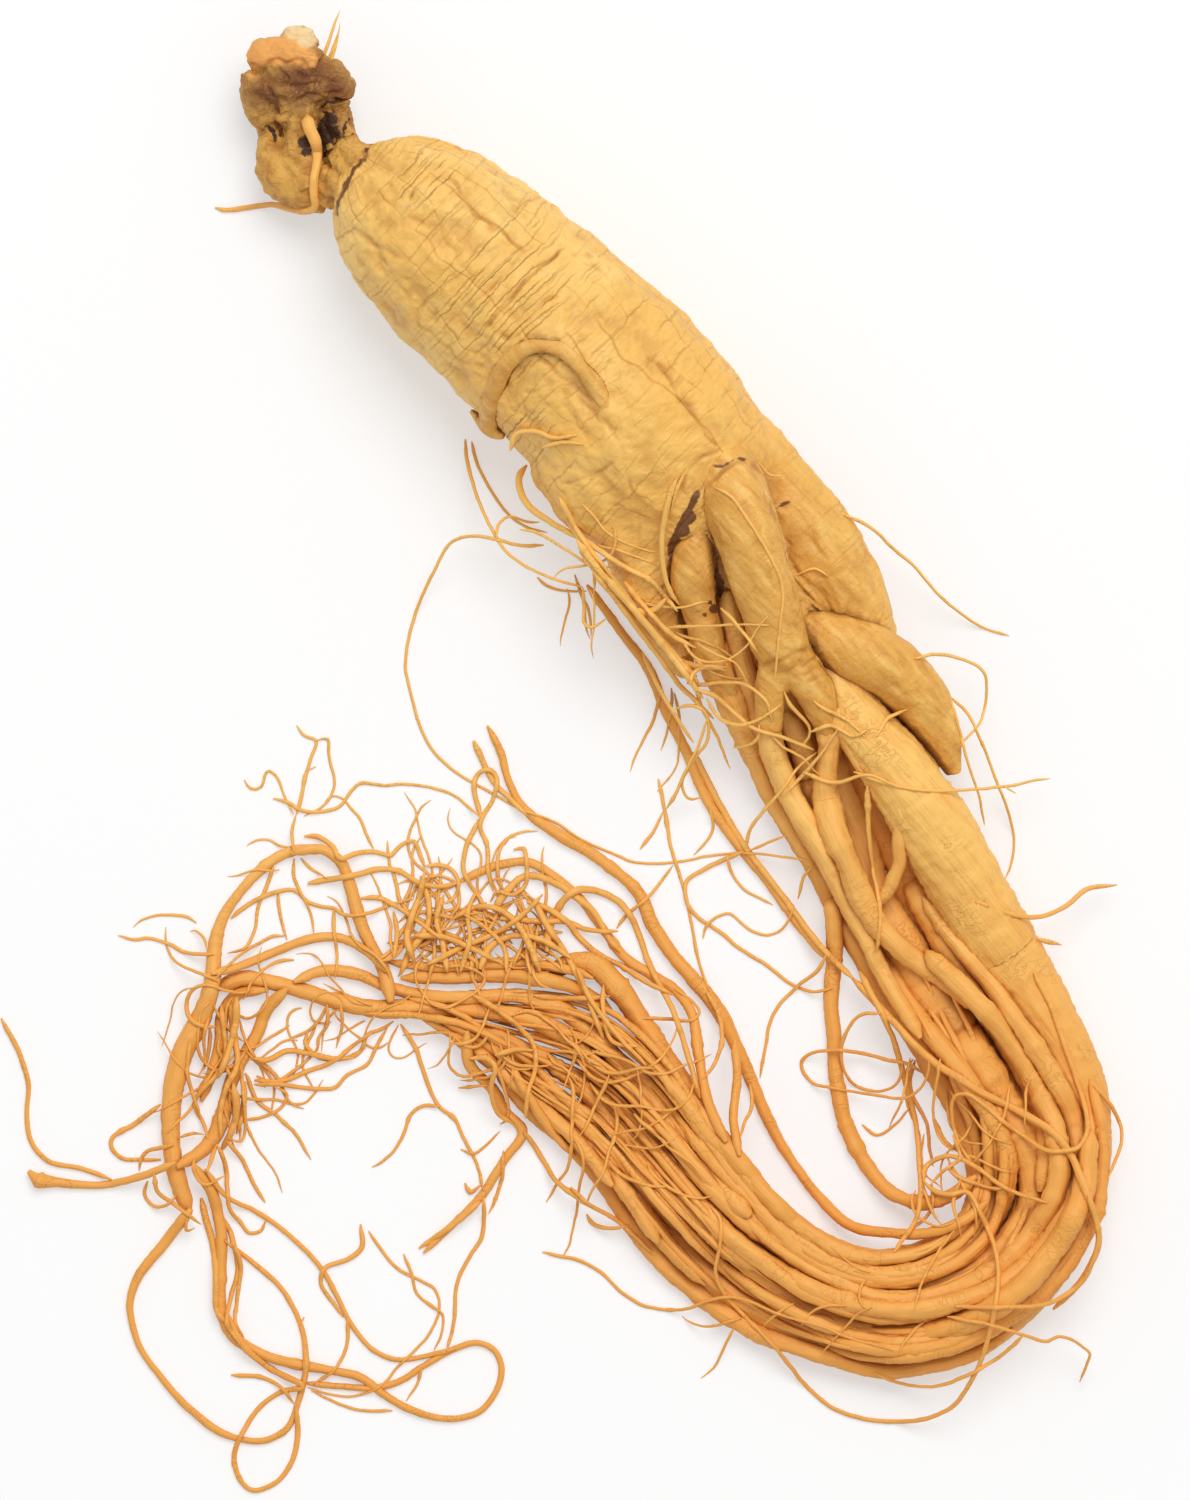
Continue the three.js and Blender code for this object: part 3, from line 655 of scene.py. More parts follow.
def strandSkin(name, lightShare, streakShare=0.3):
    material, graph = newMaterial(name)
    grain = graph.add("ShaderNodeAttribute", {"attribute_name": "grain"}, out="Vector")
    strand, shade = graph.painted("strand", "shade")
    inMm = graph.sized("ShaderNodeTexCoord", "Object")
    _, y, z = axes(graph, inMm)
    streaks = graph.noise(graph.vector("MULTIPLY", grain, (2.4, 2.4, 0.16)), 1.0, 3, 0.6)
    bands = graph.noise(graph.vector("MULTIPLY", grain, (0.7, 0.7, 0.1)), 1.0, 3, 0.6)
    rings = graph.threads(graph.vector("MULTIPLY", grain, (0.5, 0.5, 1.1)), 1.0, 0.035)
    rings = rings * graph.noise(grain, 0.12, 2).ramped(0.48, 0.64)
    broad = graph.noise(inMm, 0.09, 3)
    tint = strand * 0.9 + broad * 0.5 + streaks * 0.35
    odd = (strand * 13.7).math("FRACT")
    tones = strandTones
    colour = graph.layered(graph.mix(tint.ramped(0.4, 1.15), tones["middle"], tones["light"]), tones, [
        (lightShare, "pale"),
        (bands.ramped(0.34, 0.5, streakShare, 0.0), "orange"),
        (streaks.ramped(0.3, 0.5, streakShare, 0.0), "deep"),
        (y.ramped(-50, -5, 0.6, 0.0), "orange"),
        # painted shade: strands lying low, near the table and under others, turn deeper orange
        (z.ramped(1.5, 6, 0.35, 0.0), "low"),
        (odd.ramped(0.5, 1.0) * (0.42 * (1 - lightShare)), "low"),
        (rings * 0.3, "deep"),
        # painted shade: strands closed in by others turn deep orange-brown
        (shade.ramped(0.15, 0.85) * 0.66, "gapShade")])
    relief = streaks * 0.8 + bands * 0.9 - rings * 0.5
    return coated(graph, material, tones, colour, streaks.ramped(0.3, 0.7, *tones["rough"]), relief)


neckTones = {
    "gloss": 0.25,
    "rough": (0.5, 0.66),
    "bumpStrength": 0.7,
    "bumpHeight": 0.3,
    "yellow": (0.72, 0.39, 0.085, 1),
    "tan": (0.5, 0.22, 0.042, 1),
    "cap": (0.84, 0.385, 0.1, 1),
    "bark": (0.21, 0.078, 0.028, 1),
    # the bark's own fold lines, and painted shade in the neck's hollows
    "seamAndHollowShade": (0.14, 0.055, 0.02, 1),
    "glint": (0.75, 0.52, 0.3, 1),
    "paper": (0.86, 0.62, 0.32, 1),
    # the painted shadow in the neck's hollow
    "pitShadow": (0.07, 0.03, 0.015, 1),
}


def neckSkin():
    material, graph = newMaterial("neckSkin")
    inMm = graph.sized("ShaderNodeTexCoord", "Object")
    bark, pitShadow, cap, paper, hollow, calm = graph.painted(
        "bark", "paintedShadow", "capTone", "paper", "hollow", "calm")
    waves = graph.noise(inMm, 0.5, 2, out="Color")
    wavy = graph.vector("ADD", inMm, graph.vector("SCALE", waves, Scale=2.0))
    folds = graph.threads(graph.vector("MULTIPLY", wavy, (0.5, 0.9, 0.7)), 0.8, 0.07, 2)
    specks = graph.noise(inMm, 2.6, 3, 0.65)
    patch = graph.noise(inMm, 0.35, 3)
    # painted shadow: nearly black in the neck's deep hollow, ragged at its edge
    ragged = pitShadow + (graph.noise(inMm, 1.3, 2) - 0.5) * 1.6 * pitShadow.ramped(0.0, 0.4)
    tones = neckTones
    colour = graph.layered(graph.mix(patch.ramped(0.4, 0.65), tones["yellow"], tones["tan"]), tones, [
        (bark * graph.noise(wavy, 0.45, 3).ramped(0.22, 0.48), "bark"),
        (cap.ramped(0.3, 0.75), "cap"),
        (paper.ramped(0.3, 0.7), "paper"),
        (specks.ramped(0.6, 0.7) * bark * 0.45, "glint"),
        (folds * bark * 0.35, "seamAndHollowShade"),
        # painted shade: the neck's hollows deepen in colour
        (hollow.ramped(0.08, 0.6) * 0.6, "seamAndHollowShade"),
        (ragged.ramped(0.35, 0.7), "pitShadow")])
    relief = (specks * 0.6 - folds * 0.5) * (1 - calm * 0.6)
    return coated(graph, material, tones, colour, bark.ramped(0, 1, *tones["rough"]), relief)


def reliefTree():
    # lumps, ring cracks, wrinkles, puckers and drawn creases, pushed into a fused skin
    graph, entry = growthTree("skinRelief", {
        "Lump Height": 0.8, "Lump Size": 10.0, "Knob Height": 0.0, "Knob Size": 2.0, "Pucker Height": 1.0,
        "Soft Height": 1.0, "Ring Depth": 0.2, "Wrinkle Depth": 0.2, "Crease Depth": 0.4, "Skin": ""})
    inMm = graph.sized("GeometryNodeInputPosition")
    calm, side, crease = [named(graph, label) for label in ("calm", "side", "crease")]
    lined, rings, wrinkles, soft, pucker, _ = skinLines(graph, inMm, calm, side)
    lumps = graph.noise(graph.vector("DIVIDE", lined, entry["Lump Size"]), 1.0, 2) - 0.5
    knobs = graph.noise(graph.vector("DIVIDE", lined, entry["Knob Size"]), 1.0, 2, 0.55) - 0.5
    knobs = knobs * (1 - calm * 0.8)
    raised = (lumps * entry["Lump Height"] + knobs * entry["Knob Height"]
              + pucker * entry["Pucker Height"] + soft * entry["Soft Height"])
    amount = (raised - rings * entry["Ring Depth"] - wrinkles * entry["Wrinkle Depth"]
              - crease * entry["Crease Depth"])
    normal = graph.add("GeometryNodeInputNormal")
    offset = graph.vector("SCALE", normal, Scale=amount * mm)
    shaped = graph.add("GeometryNodeSetPosition", None, {"Geometry": entry["Geometry"], "Offset": offset})
    return graph.closed(shaped, entry["Skin"])


def strandTree():
    # round strands along lines, with streaks, knots and a little wobble
    graph, entry = growthTree("strandSkin", {
        "Sides": 12, "Spacing": 0.8, "Wobble": 0.3, "Wobble Size": 6.0, "Uneven": 0.2,
        "Knots": 0.2, "Streak Depth": 0.12, "Ring Depth": 0.06, "Seed": 1, "Skin": ""})
    lines = graph.add("GeometryNodeMeshToCurve", None, {"Mesh": entry["Geometry"]})
    lines = graph.add("GeometryNodeResampleCurve", {"mode": "LENGTH"}, {
        "Curve": lines, "Length": entry["Spacing"] * mm})
    which = graph.add("GeometryNodeCurveOfPoint", out="Curve Index")
    chance = graph.add("FunctionNodeRandomValue", {"data_type": "FLOAT"}, {
        "Min": 0.0, "Max": 1.0, "ID": which, "Seed": entry["Seed"]})
    lines = store(graph, lines, "strand", chance)
    length = graph.add("GeometryNodeSplineParameter", out="Length")
    lines = store(graph, lines, "along", length / mm)
    inMm = graph.sized("GeometryNodeInputPosition")
    shift = graph.add("ShaderNodeCombineXYZ", None, {"X": chance * 80, "Y": chance * 31, "Z": 0.0})
    spot = graph.vector("ADD", inMm, shift)
    sway = graph.noise(graph.vector("DIVIDE", spot, entry["Wobble Size"]), 1.0, 2, out="Color")
    sway = graph.vector("MULTIPLY", graph.vector("SUBTRACT", sway, (0.5, 0.5, 0.5)), (1, 1, 0.25))
    sway = graph.vector("SCALE", sway, Scale=entry["Wobble"] * (2 * mm))
    lines = graph.add("GeometryNodeSetPosition", None, {"Geometry": lines, "Offset": sway})
    radius = graph.add("GeometryNodeInputRadius")
    swell = graph.noise(spot, 0.23, 2) - 0.5 + (graph.noise(spot, 0.8, 1) - 0.5) * 0.5
    knots = graph.noise(graph.vector("ADD", spot, (9, 5, 2)), 0.42, 1).ramped(0.64, 0.74)
    girth = radius * (1 + swell * entry["Uneven"] * 2 + knots * entry["Knots"])
    lines = store(graph, lines, "girth", girth / mm)
    circle = graph.add("GeometryNodeCurvePrimitiveCircle", {"mode": "RADIUS"}, {
        "Resolution": entry["Sides"], "Radius": 1.0})
    circle = store(graph, circle, "around", graph.add("GeometryNodeSplineParameter", out="Factor"))
    tube = graph.add("GeometryNodeCurveToMesh", None, {
        "Curve": lines, "Profile Curve": circle, "Scale": named(graph, "girth") * mm, "Fill Caps": True})
    turn = named(graph, "around") * (2 * math.pi) + named(graph, "along") * 0.03
    offset = named(graph, "strand") * 300
    thick = named(graph, "girth")
    grain = graph.add("ShaderNodeCombineXYZ", None, {
        "X": turn.math("COSINE") * thick + offset, "Y": turn.math("SINE") * thick,
        "Z": named(graph, "along") + offset})
    tube = graph.add("GeometryNodeStoreNamedAttribute", {"data_type": "FLOAT_VECTOR", "domain": "POINT"}, {
        "Geometry": tube, "Name": "grain", "Value": grain})
    streaks = graph.noise(graph.vector("MULTIPLY", grain, (0.9, 0.9, 0.09)), 1.0, 2) - 0.5
    rings = graph.threads(graph.vector("MULTIPLY", grain, (0.25, 0.25, 0.8)), 1.0, 0.09)
    push = (streaks * entry["Streak Depth"] * 2 - rings * entry["Ring Depth"]) * thick * mm
    away = graph.vector("SCALE", graph.add("GeometryNodeInputNormal"), Scale=push)
    tube = graph.add("GeometryNodeSetPosition", None, {"Geometry": tube, "Offset": away})
    return graph.closed(tube, entry["Skin"])


def store(graph, geometry, name, value):
    return graph.add("GeometryNodeStoreNamedAttribute", {"data_type": "FLOAT", "domain": "POINT"}, {
        "Geometry": geometry, "Name": name, "Value": value})


def named(graph, name):
    return graph.add("GeometryNodeInputNamedAttribute", {"data_type": "FLOAT"}, {"Name": name})


bodyMaterial = bodySkin()
neckMaterial = neckSkin()
greatMaterial = strandSkin("greatLegSkin", 0.85, 0.35)
legMaterial = strandSkin("legSkin", 0.25)
tailMaterial = strandSkin("tailSkin", 0.0, 0.4)
rootletMaterial = strandSkin("rootletSkin", 0.75, 0.1)
reliefGrowth = reliefTree()
strandGrowth = strandTree()
print("skins and growth trees")


def linesMesh(name, routes):
    # loose lines with a radius at every point, for the strand tree
    vertices, edges, radii = [], [], []
    for samples in routes:
        start = len(radii)
        taper = np.minimum(1, 0.35 + 0.65 * np.arange(len(samples)) / 2)
        radii += (samples[:, 3] * taper * taper[::-1] * mm).tolist()
        vertices += (samples[:, :3] * mm).tolist()
        edges += [(i, i + 1) for i in range(start, len(radii) - 1)]
    mesh = bpy.data.meshes.new(name)
    mesh.from_pydata(vertices, edges, [])
    mesh.attributes.new("radius", "FLOAT", "POINT").data.foreach_set("value", radii)
    return mesh


def strandPiece(name, routes, material, settings):
    mesh = grown(name, linesMesh(name, routes), strandGrowth, {**settings, "Skin": material})
    layOnTable(mesh)
    return finished(name, mesh, material)


# The body, its arms and its flanks.

# The side root that hooks over the body, and its frayed stub.
hookedRoot = [
    [(-10.6, 48.6, 16.8, 1.5), (-10, 53, 24, 1.35), (-8.2, 57.4, 28.4, 1.25), (-4.6, 60.2, 30.8, 1.15),
     (0, 59.9, 31.2, 1.2), (3.4, 56.8, 30.8, 1.3), (6.8, 51.8, 29, 1.5), (9.2, 47.6, 26.8, 1.5),
     (11, 44.6, 24.6, 1.2)],
    [(-12.2, 50.2, 13.6, 0.8), (-11.2, 49, 15.4, 1.2), (-9.6, 47.8, 16.6, 1.1), (-8.4, 47.2, 17.6, 0.6)],
    [(-12.2, 52.8, 15.6, 0.45), (-11.5, 50.8, 16.8, 0.8), (-10.8, 49, 18, 1)],
    [(-13.2, 51, 13.8, 0.35), (-12.2, 50, 15, 0.7)]]

body = {
    "radius": 16.0,
    "height": 14.6,
    "coarse": 0.9,
    "fine": 0.3,
    "armFine": 0.26,
    "hookFine": 0.16,
    "sink": 5,  # how far the middle line falls as the body thins to nothing
    "trunkStep": 1.5,
    "trunkSides": 64,
    "flankStep": 1.2,
    "armStep": 0.8,
    "coarseSmoothing": 12,
    "fineSmoothing": 4,
    "armSmoothing": 8,
    "keptFaces": 0.6,  # share of the faces kept on the underside
    "keptBelow": 10,  # height below which that is
    "relief": {"Lump Height": 1.0, "Pucker Height": 0.7, "Soft Height": 2.2, "Ring Depth": 0.14,
               "Wrinkle Depth": 0.1, "Crease Depth": 0.5},
    "armRelief": {"Lump Height": 1.0, "Lump Size": 7.0, "Knob Height": 0.5, "Knob Size": 3.0,
                  "Pucker Height": 0.5, "Soft Height": 0.8, "Ring Depth": 0.12, "Wrinkle Depth": 0.08,
                  "Crease Depth": 0.5},
    # x, y, reach and strength of patches; strength, width and points of lines; the shadow places and lines
    # are painted shadow in cavities, the leg's pit and clefts
    "shadowPlaces": [(19.2, 35, 1, 2.2), (18.3, 33.4, 1, 2.2), (17.3, 31.4, 0.9, 2)],
    "shadowLines": [(2.2, 0.55, [(16.7, 28), (16.8, 30.6), (17.6, 33), (18.8, 35.2), (19.9, 37),
                               (20.8, 38.6)]),
                  (1.3, 0.6, [(21.8, 32), (22.8, 29.6), (23.6, 26), (24.9, 22)]),
                  (1.3, 0.35, [(32.4, 36.2), (33.4, 36.7), (34.6, 37.4)]),
                  (1.2, 0.45, [(-28.2, 91), (-29.6, 88.8), (-30.8, 86.9), (-31.8, 85.2), (-32.8, 82.8),
                               (-33.4, 80.4)])],
    "legPitShadows": [(22.9, 21.4, 0.7, 2), (22.4, 22.4, 0.4, 1.4), (21.6, 20.6, 0.4, 1)],
    "armShadowLines": [(1.2, 0.3, [(22.6, 42.6), (24.4, 42.9), (26.4, 43.6), (28.6, 43.8)])],
    "calmPlaces": [(33, 39, 8, 1), (38, 31, 9, 1), (43, 24, 9, 1)],
    "everywhere": [(30, 20, 900, 1)],
    "length": [
        (-30.2, 86, 0.3), (-28, 84.5, 0.56), (-22.9, 80.8, 0.79), (-16.7, 75.8, 0.89), (-9, 68.8, 0.94),
        (-1, 61.8, 0.98), (6, 55.4, 0.99), (13.2, 47.8, 1), (20, 40.8, 0.86), (25, 34, 0.6),
        (29.5, 27.5, 0.44), (33, 21, 0.36), (36, 15.5, 0.3), (38.5, 11, 0.24)],
    "leftFlank": [
        (5.1, 46.7, 15.4, 10.9), (8.7, 40, 16.4, 10), (11.4, 34.6, 16.6, 7.6), (12.6, 29.6, 16, 5.6),
        (14, 24.6, 14.4, 4.2), (15.8, 20.6, 12.6, 2.9), (17.4, 17.6, 11, 2.2), (19, 14.6, 9.6, 1.4)],
    "underFlank": [(9, 40, 9, 8), (12, 32.6, 8, 6.4), (13.4, 26, 7, 4.8), (15.2, 20.6, 6, 3.6),
                   (17, 15.8, 5, 2.8), (19.4, 11, 4, 1.8)],
    "rightSwelling": [
        (26.4, 47.8, 13.4, 4.9), (32.8, 39.4, 13, 5.9), (38.2, 31.4, 12.4, 6.4), (42, 25.6, 11.6, 6.3),
        (45.2, 21.5, 10.8, 5), (46.8, 18, 10.4, 3.8), (47.6, 15.4, 10, 2.8)],
    "rightArm": [
        (35.2, 18.6, 13, 3), (38.5, 17.8, 13.6, 3.9), (41.5, 16.5, 14, 4.5), (45, 15, 14, 4.9),
        (49, 12.8, 13.2, 4.9), (52.8, 9.4, 12, 4.4), (55.8, 5, 10.8, 3.7), (57.7, 0.6, 9.6, 2.7),
        (59, -3.4, 8.4, 1.4)],
    "frontArm": [
        (22.8, 45.6, 20.5, 3.6), (24.6, 41.4, 22.8, 5.2), (26.8, 36, 24, 5.2), (28.8, 30, 23.6, 4.9),
        (30.6, 24.5, 22, 4.7), (32, 19.5, 20, 4.4), (33.4, 15.4, 18, 4.2), (34, 13.6, 17, 3.4)],
    # where the front arm runs out into two legs
    "prongs": [
        [(33, 16.6, 18.4, 2.8), (32.2, 12.4, 17.2, 2.7), (31.5, 8, 15.6, 2.4), (31.3, 3.4, 13.8, 2)],
        [(34.4, 16, 18, 3), (36.2, 12, 16.8, 3.2), (38, 9.2, 15.6, 3), (39.4, 6, 14.6, 2.5),
         (40.3, 2.6, 13.2, 1.8)]],
    # the knobby top of the leg left of the front arm
    "knobbyLeg": [
        (21.3, 34.6, 20, 1.5), (20.7, 32.4, 20.4, 2.5), (20, 29.6, 20, 3.2), (19.9, 26.2, 19.2, 3.3),
        (20.4, 23.4, 18, 2.9), (21.2, 20.6, 16.4, 2.3), (21.9, 17.6, 15, 2.5), (23.1, 14, 13.2, 2.4),
        (24.6, 10, 11.2, 2.3), (25.8, 7, 10, 1.8)],
}

# Creases drawn on the body: strength, width and the points that each passes through.
bodyCreases = [
    (1.0, 0.42, [(-11.2, 62.7), (-9.9, 64.4), (-8.1, 66.6), (-6.4, 68.7), (-4.8, 70.4), (-3, 72.2),
                 (-1.2, 73.8), (0.5, 75.2)]),
    (0.8, 0.35, [(-14.2, 65.7), (-12.6, 67), (-10.8, 68.7), (-9, 70.5), (-7.2, 72), (-5.7, 73.8)]),
    (0.9, 0.32, [(-22.8, 81.9), (-21.6, 83.6), (-20.7, 84.9), (-19.8, 86.1), (-19, 86.9)]),
    (0.4, 0.3, [(-28.2, 81), (-26.7, 82.8), (-25.5, 84.6), (-24.6, 86.1), (-23.7, 87.9), (-21.9, 90.9)]),
    (0.35, 0.28, [(-21.3, 80.4), (-19.8, 82.5), (-18.3, 84.6)]),
    (0.35, 0.28, [(-20.4, 79.8), (-18.8, 82), (-17.4, 84.2)]),
    (0.35, 0.28, [(-19.5, 79.4), (-17.9, 81.6), (-16.6, 83.4)]),
    (0.75, 0.55, [(-16.5, 86.1), (-15.3, 84.6), (-14.4, 83.1), (-13.5, 81.6), (-12, 80.1), (-10.5, 78.9),
                  (-9.3, 77.7), (-8.1, 76.8), (-6.3, 75.6), (-4.8, 74.1)]),
    (0.65, 0.6, [(-31.2, 79.2), (-30.1, 77.7), (-28.8, 76.2), (-27, 75.3), (-24.9, 74.4), (-23.1, 73.5)]),
    (0.6, 0.5, [(-22.8, 79.8), (-21.3, 79.2), (-19.8, 78.6), (-18, 77.7), (-16.8, 76.2), (-15.6, 74.7),
                (-15, 72.9), (-13.8, 71.4), (-12.3, 70.2)]),
    (0.6, 0.4, [(-9.4, 78.2), (-7.8, 80.1), (-6.6, 81), (-5.4, 81.9), (-4.2, 82.5), (-2.7, 82.8),
                (-1.5, 82.2)]),
    (0.45, 0.4, [(-18, 74.1), (-16.8, 73.8), (-15.3, 74.4), (-15, 73.2)]),
    (0.6, 0.5, [(-26.7, 68.4), (-25.8, 66.9), (-24.9, 64.8), (-23.4, 63), (-21.9, 61.5), (-20.1, 59.4)]),
    (0.6, 0.5, [(-22.8, 66.6), (-21.6, 64.8), (-20.4, 63), (-19.2, 62.1), (-17.7, 60.9), (-16.2, 59.4),
                (-14.4, 57.9), (-12.3, 57.3), (-10.5, 57)]),
    (0.5, 0.4, [(-21.9, 68.1), (-20.7, 66.9), (-19.2, 64.8), (-18, 66.3), (-17.4, 67.8)]),
    (0.5, 0.25, [(-13.8, 58.8), (-12.9, 60)]),
    (0.5, 0.25, [(-13.2, 58.3), (-12, 59.8)]),
    (0.4, 0.25, [(-12.3, 58.2), (-10.8, 59.4)]),
    (0.5, 0.3, [(-28.8, 74.4), (-29.4, 73.2), (-30.3, 72), (-30.8, 71.5)]),
    (0.5, 0.45, [(1.8, 74.4), (3.3, 73.2), (5.1, 72.6), (6.6, 71.4), (8.6, 69.6)]),
    (0.7, 0.5, [(-6, 63.6), (-4.2, 65.1), (-2.7, 66.6), (-0.9, 67.8), (0.3, 67.8)]),
    (0.7, 0.8, [(-9, 63), (-7.5, 61.6), (-6.5, 61.9)]),
    (0.5, 0.5, [(2.4, 69.9), (3.6, 68.1), (5.1, 66.6), (6.6, 64.5), (8.1, 63)]),
    (0.7, 0.55, [(-3, 58.8), (-1.2, 57.3), (0.9, 55.5), (3, 53.7), (4.5, 51.9), (6.6, 49.5), (8.4, 47.4)]),
    (0.6, 0.5, [(0.6, 53.4), (0.9, 51.3), (2.4, 49.2), (3.9, 47.1), (5.4, 45)]),
    (0.6, 0.45, [(-5.7, 52.8), (-5.1, 51.3), (-3.9, 49.8), (-3.3, 48)]),
    (0.5, 0.45, [(-6, 54.3), (-4.2, 53.4), (-2.4, 54.6), (-0.6, 54.9)]),
    (0.8, 0.5, [(12.7, 60), (14.3, 58), (16.3, 56.3), (17, 54.6), (18, 53), (19.3, 51.6), (20.3, 50),
                (21.3, 48.3), (22.7, 46.6), (24, 45.6)]),
    (0.8, 0.45, [(24.7, 45.6), (22.7, 44.6), (21, 43.6), (19.7, 42.3), (18.7, 40.6), (18.2, 38.6)]),
    (1.0, 0.45, [(20, 38.3), (21.3, 39.3), (23, 40.6), (24, 41.6), (25.3, 42.6), (26.7, 43.1),
                 (28.7, 43.6)]),
    (0.8, 0.6, [(28.7, 44), (30, 42), (31.3, 40), (32, 37.3), (32.3, 35), (33.3, 32.6), (34.3, 30),
                (34.7, 28)]),
    (1.0, 0.7, [(32.3, 36.6), (33.3, 36.3), (34.5, 37.5)]),
    (0.5, 0.5, [(9.3, 46.6), (9.5, 44), (10, 41.3), (10.8, 38.6), (11.5, 36), (12, 33.3), (11.7, 30.6),
                (10.7, 28.6)]),
    (0.7, 0.5, [(0, 40.3), (2, 40.3), (4.3, 41), (6.3, 42), (8, 43.3), (9, 44.3)]),
    (0.7, 0.5, [(0.7, 55.3), (2, 54), (3.7, 52), (5.3, 50), (7, 48.6), (8.3, 47.3), (9.2, 46)]),
    (0.5, 0.5, [(0.7, 54.6), (1, 52), (2.7, 49), (4.3, 47), (5.7, 45.3), (7, 44)]),
    (0.5, 0.5, [(9.7, 49.3), (11.3, 48), (12.7, 47)]),
    (0.7, 0.5, [(10, 55.3), (11.7, 57)]),
    (0.6, 0.35, [(22, 58.1), (24, 59)]),
    (0.4, 0.5, [(24.7, 55.3), (26.3, 53), (28, 50.6), (29, 48.6)]),
    (0.8, 0.5, [(30, 13), (32, 13.4), (34, 14), (36, 14.8), (38, 15.4)]),
    (0.5, 0.35, [(31, 11.4), (33, 11.8), (35, 12.6), (37, 13.4)]),
    (0.6, 0.32, [(34.8, 13.9), (36, 14.3), (37.4, 15.2), (38.4, 15.9)]),
    (0.7, 0.32, [(35.4, 12.6), (36.6, 12.9), (38, 13.8), (39, 14.6)]),
    (0.6, 0.3, [(35.8, 11.5), (37.2, 11.8), (38.6, 12.6), (39.6, 13.3)]),
    (0.5, 0.3, [(36.4, 10.2), (37.8, 10.5), (39.2, 11.2), (40.2, 11.8)]),
    (0.5, 0.4, [(37, 27), (39, 26), (41, 26.2), (43, 27.6)]),
    (0.4, 0.4, [(36, 33), (38, 31), (40, 28)]),
]


def shaped(name, mesh, lines, relief, material, masks, paintedShadow, shadowLines):
    # a fused skin with its creases, painted shadows and relief, ready as a piece
    addAttribute(mesh, "crease", lineMask(mesh, lines))
    addAttribute(mesh, "paintedShadow", np.maximum(blobMask(mesh, paintedShadow), lineMask(mesh, shadowLines)))
    for label, blobs in masks.items():
        addAttribute(mesh, label, blobMask(mesh, blobs))
    mesh = grown(name, mesh, reliefGrowth, {**relief, "Skin": material})
    layOnTable(mesh)
    addAttribute(mesh, "hollow", hollows(mesh))
    return finished(name, mesh, material)


def blobMask(mesh, blobs):
    # soft patches at x, y with a reach and a strength
    place = positions(mesh) / mm
    mask = np.zeros(len(place))
    for x, y, reach, strength in blobs:
        apart = np.hypot(place[:, 0] - x, place[:, 1] - y) / reach
        mask = np.maximum(mask, strength * np.exp(-apart**2 * 1.2))
    return mask


def coarserBelow(name, mesh, height, ratio):
    # the same mesh with fewer faces on its underside, where it lies on the table
    carrier = linked(name, mesh)
    group = carrier.vertex_groups.new(name="below")
    low = np.flatnonzero(positions(mesh)[:, 2] < height * mm)
    group.add(low.tolist(), 1.0, "REPLACE")
    thin = carrier.modifiers.new("thin", "DECIMATE")
    thin.ratio = ratio
    thin.vertex_group = "below"
    return baked(carrier)


def makeBody():
    samples, _ = spline(body["length"], body["trunkStep"])
    core = np.column_stack([samples[:, :2], body["height"] - (1 - samples[:, 2]) * body["sink"],
                            samples[:, 2] * body["radius"]])
    heap.lay(core)
    flanks = ("leftFlank", "underFlank", "rightSwelling")
    stout = [core] + heap.holdAll([body[part] for part in flanks], body["flankStep"])
    mesh = tubesMesh("trunk", stout, body["trunkSides"])
    trunk = fused("trunk", mesh, body["coarse"], body["coarseSmoothing"])
    trunk = fused("trunk", trunk, body["fine"], body["fineSmoothing"])
    trunk = coarserBelow("trunk", trunk, body["keptBelow"], body["keptFaces"])
    masks = {"calm": body["calmPlaces"]}
    pieces = [shaped("body", trunk, bodyCreases, body["relief"], bodyMaterial, masks,
                     body["shadowPlaces"], body["shadowLines"])]
    masks = {"calm": body["everywhere"], "side": body["everywhere"]}
    for name, parts, fine in (("right_arm", [body["rightArm"]], body["armFine"]),
                              ("knobby_leg", [body["knobbyLeg"]], body["armFine"]),
                              ("front_arm", [body["frontArm"], *body["prongs"]], body["armFine"]),
                              ("hooked_root", hookedRoot, body["hookFine"])):
        routes = heap.holdAll(parts, body["armStep"])
        arm = fused(name, tubesMesh(name, routes), fine, body["armSmoothing"])
        pieces.append(shaped(name, arm, bodyCreases, body["armRelief"], bodyMaterial, masks,
                             body["legPitShadows"], body["armShadowLines"]))
    return pieces


bodyPieces = makeBody()


# The neck.

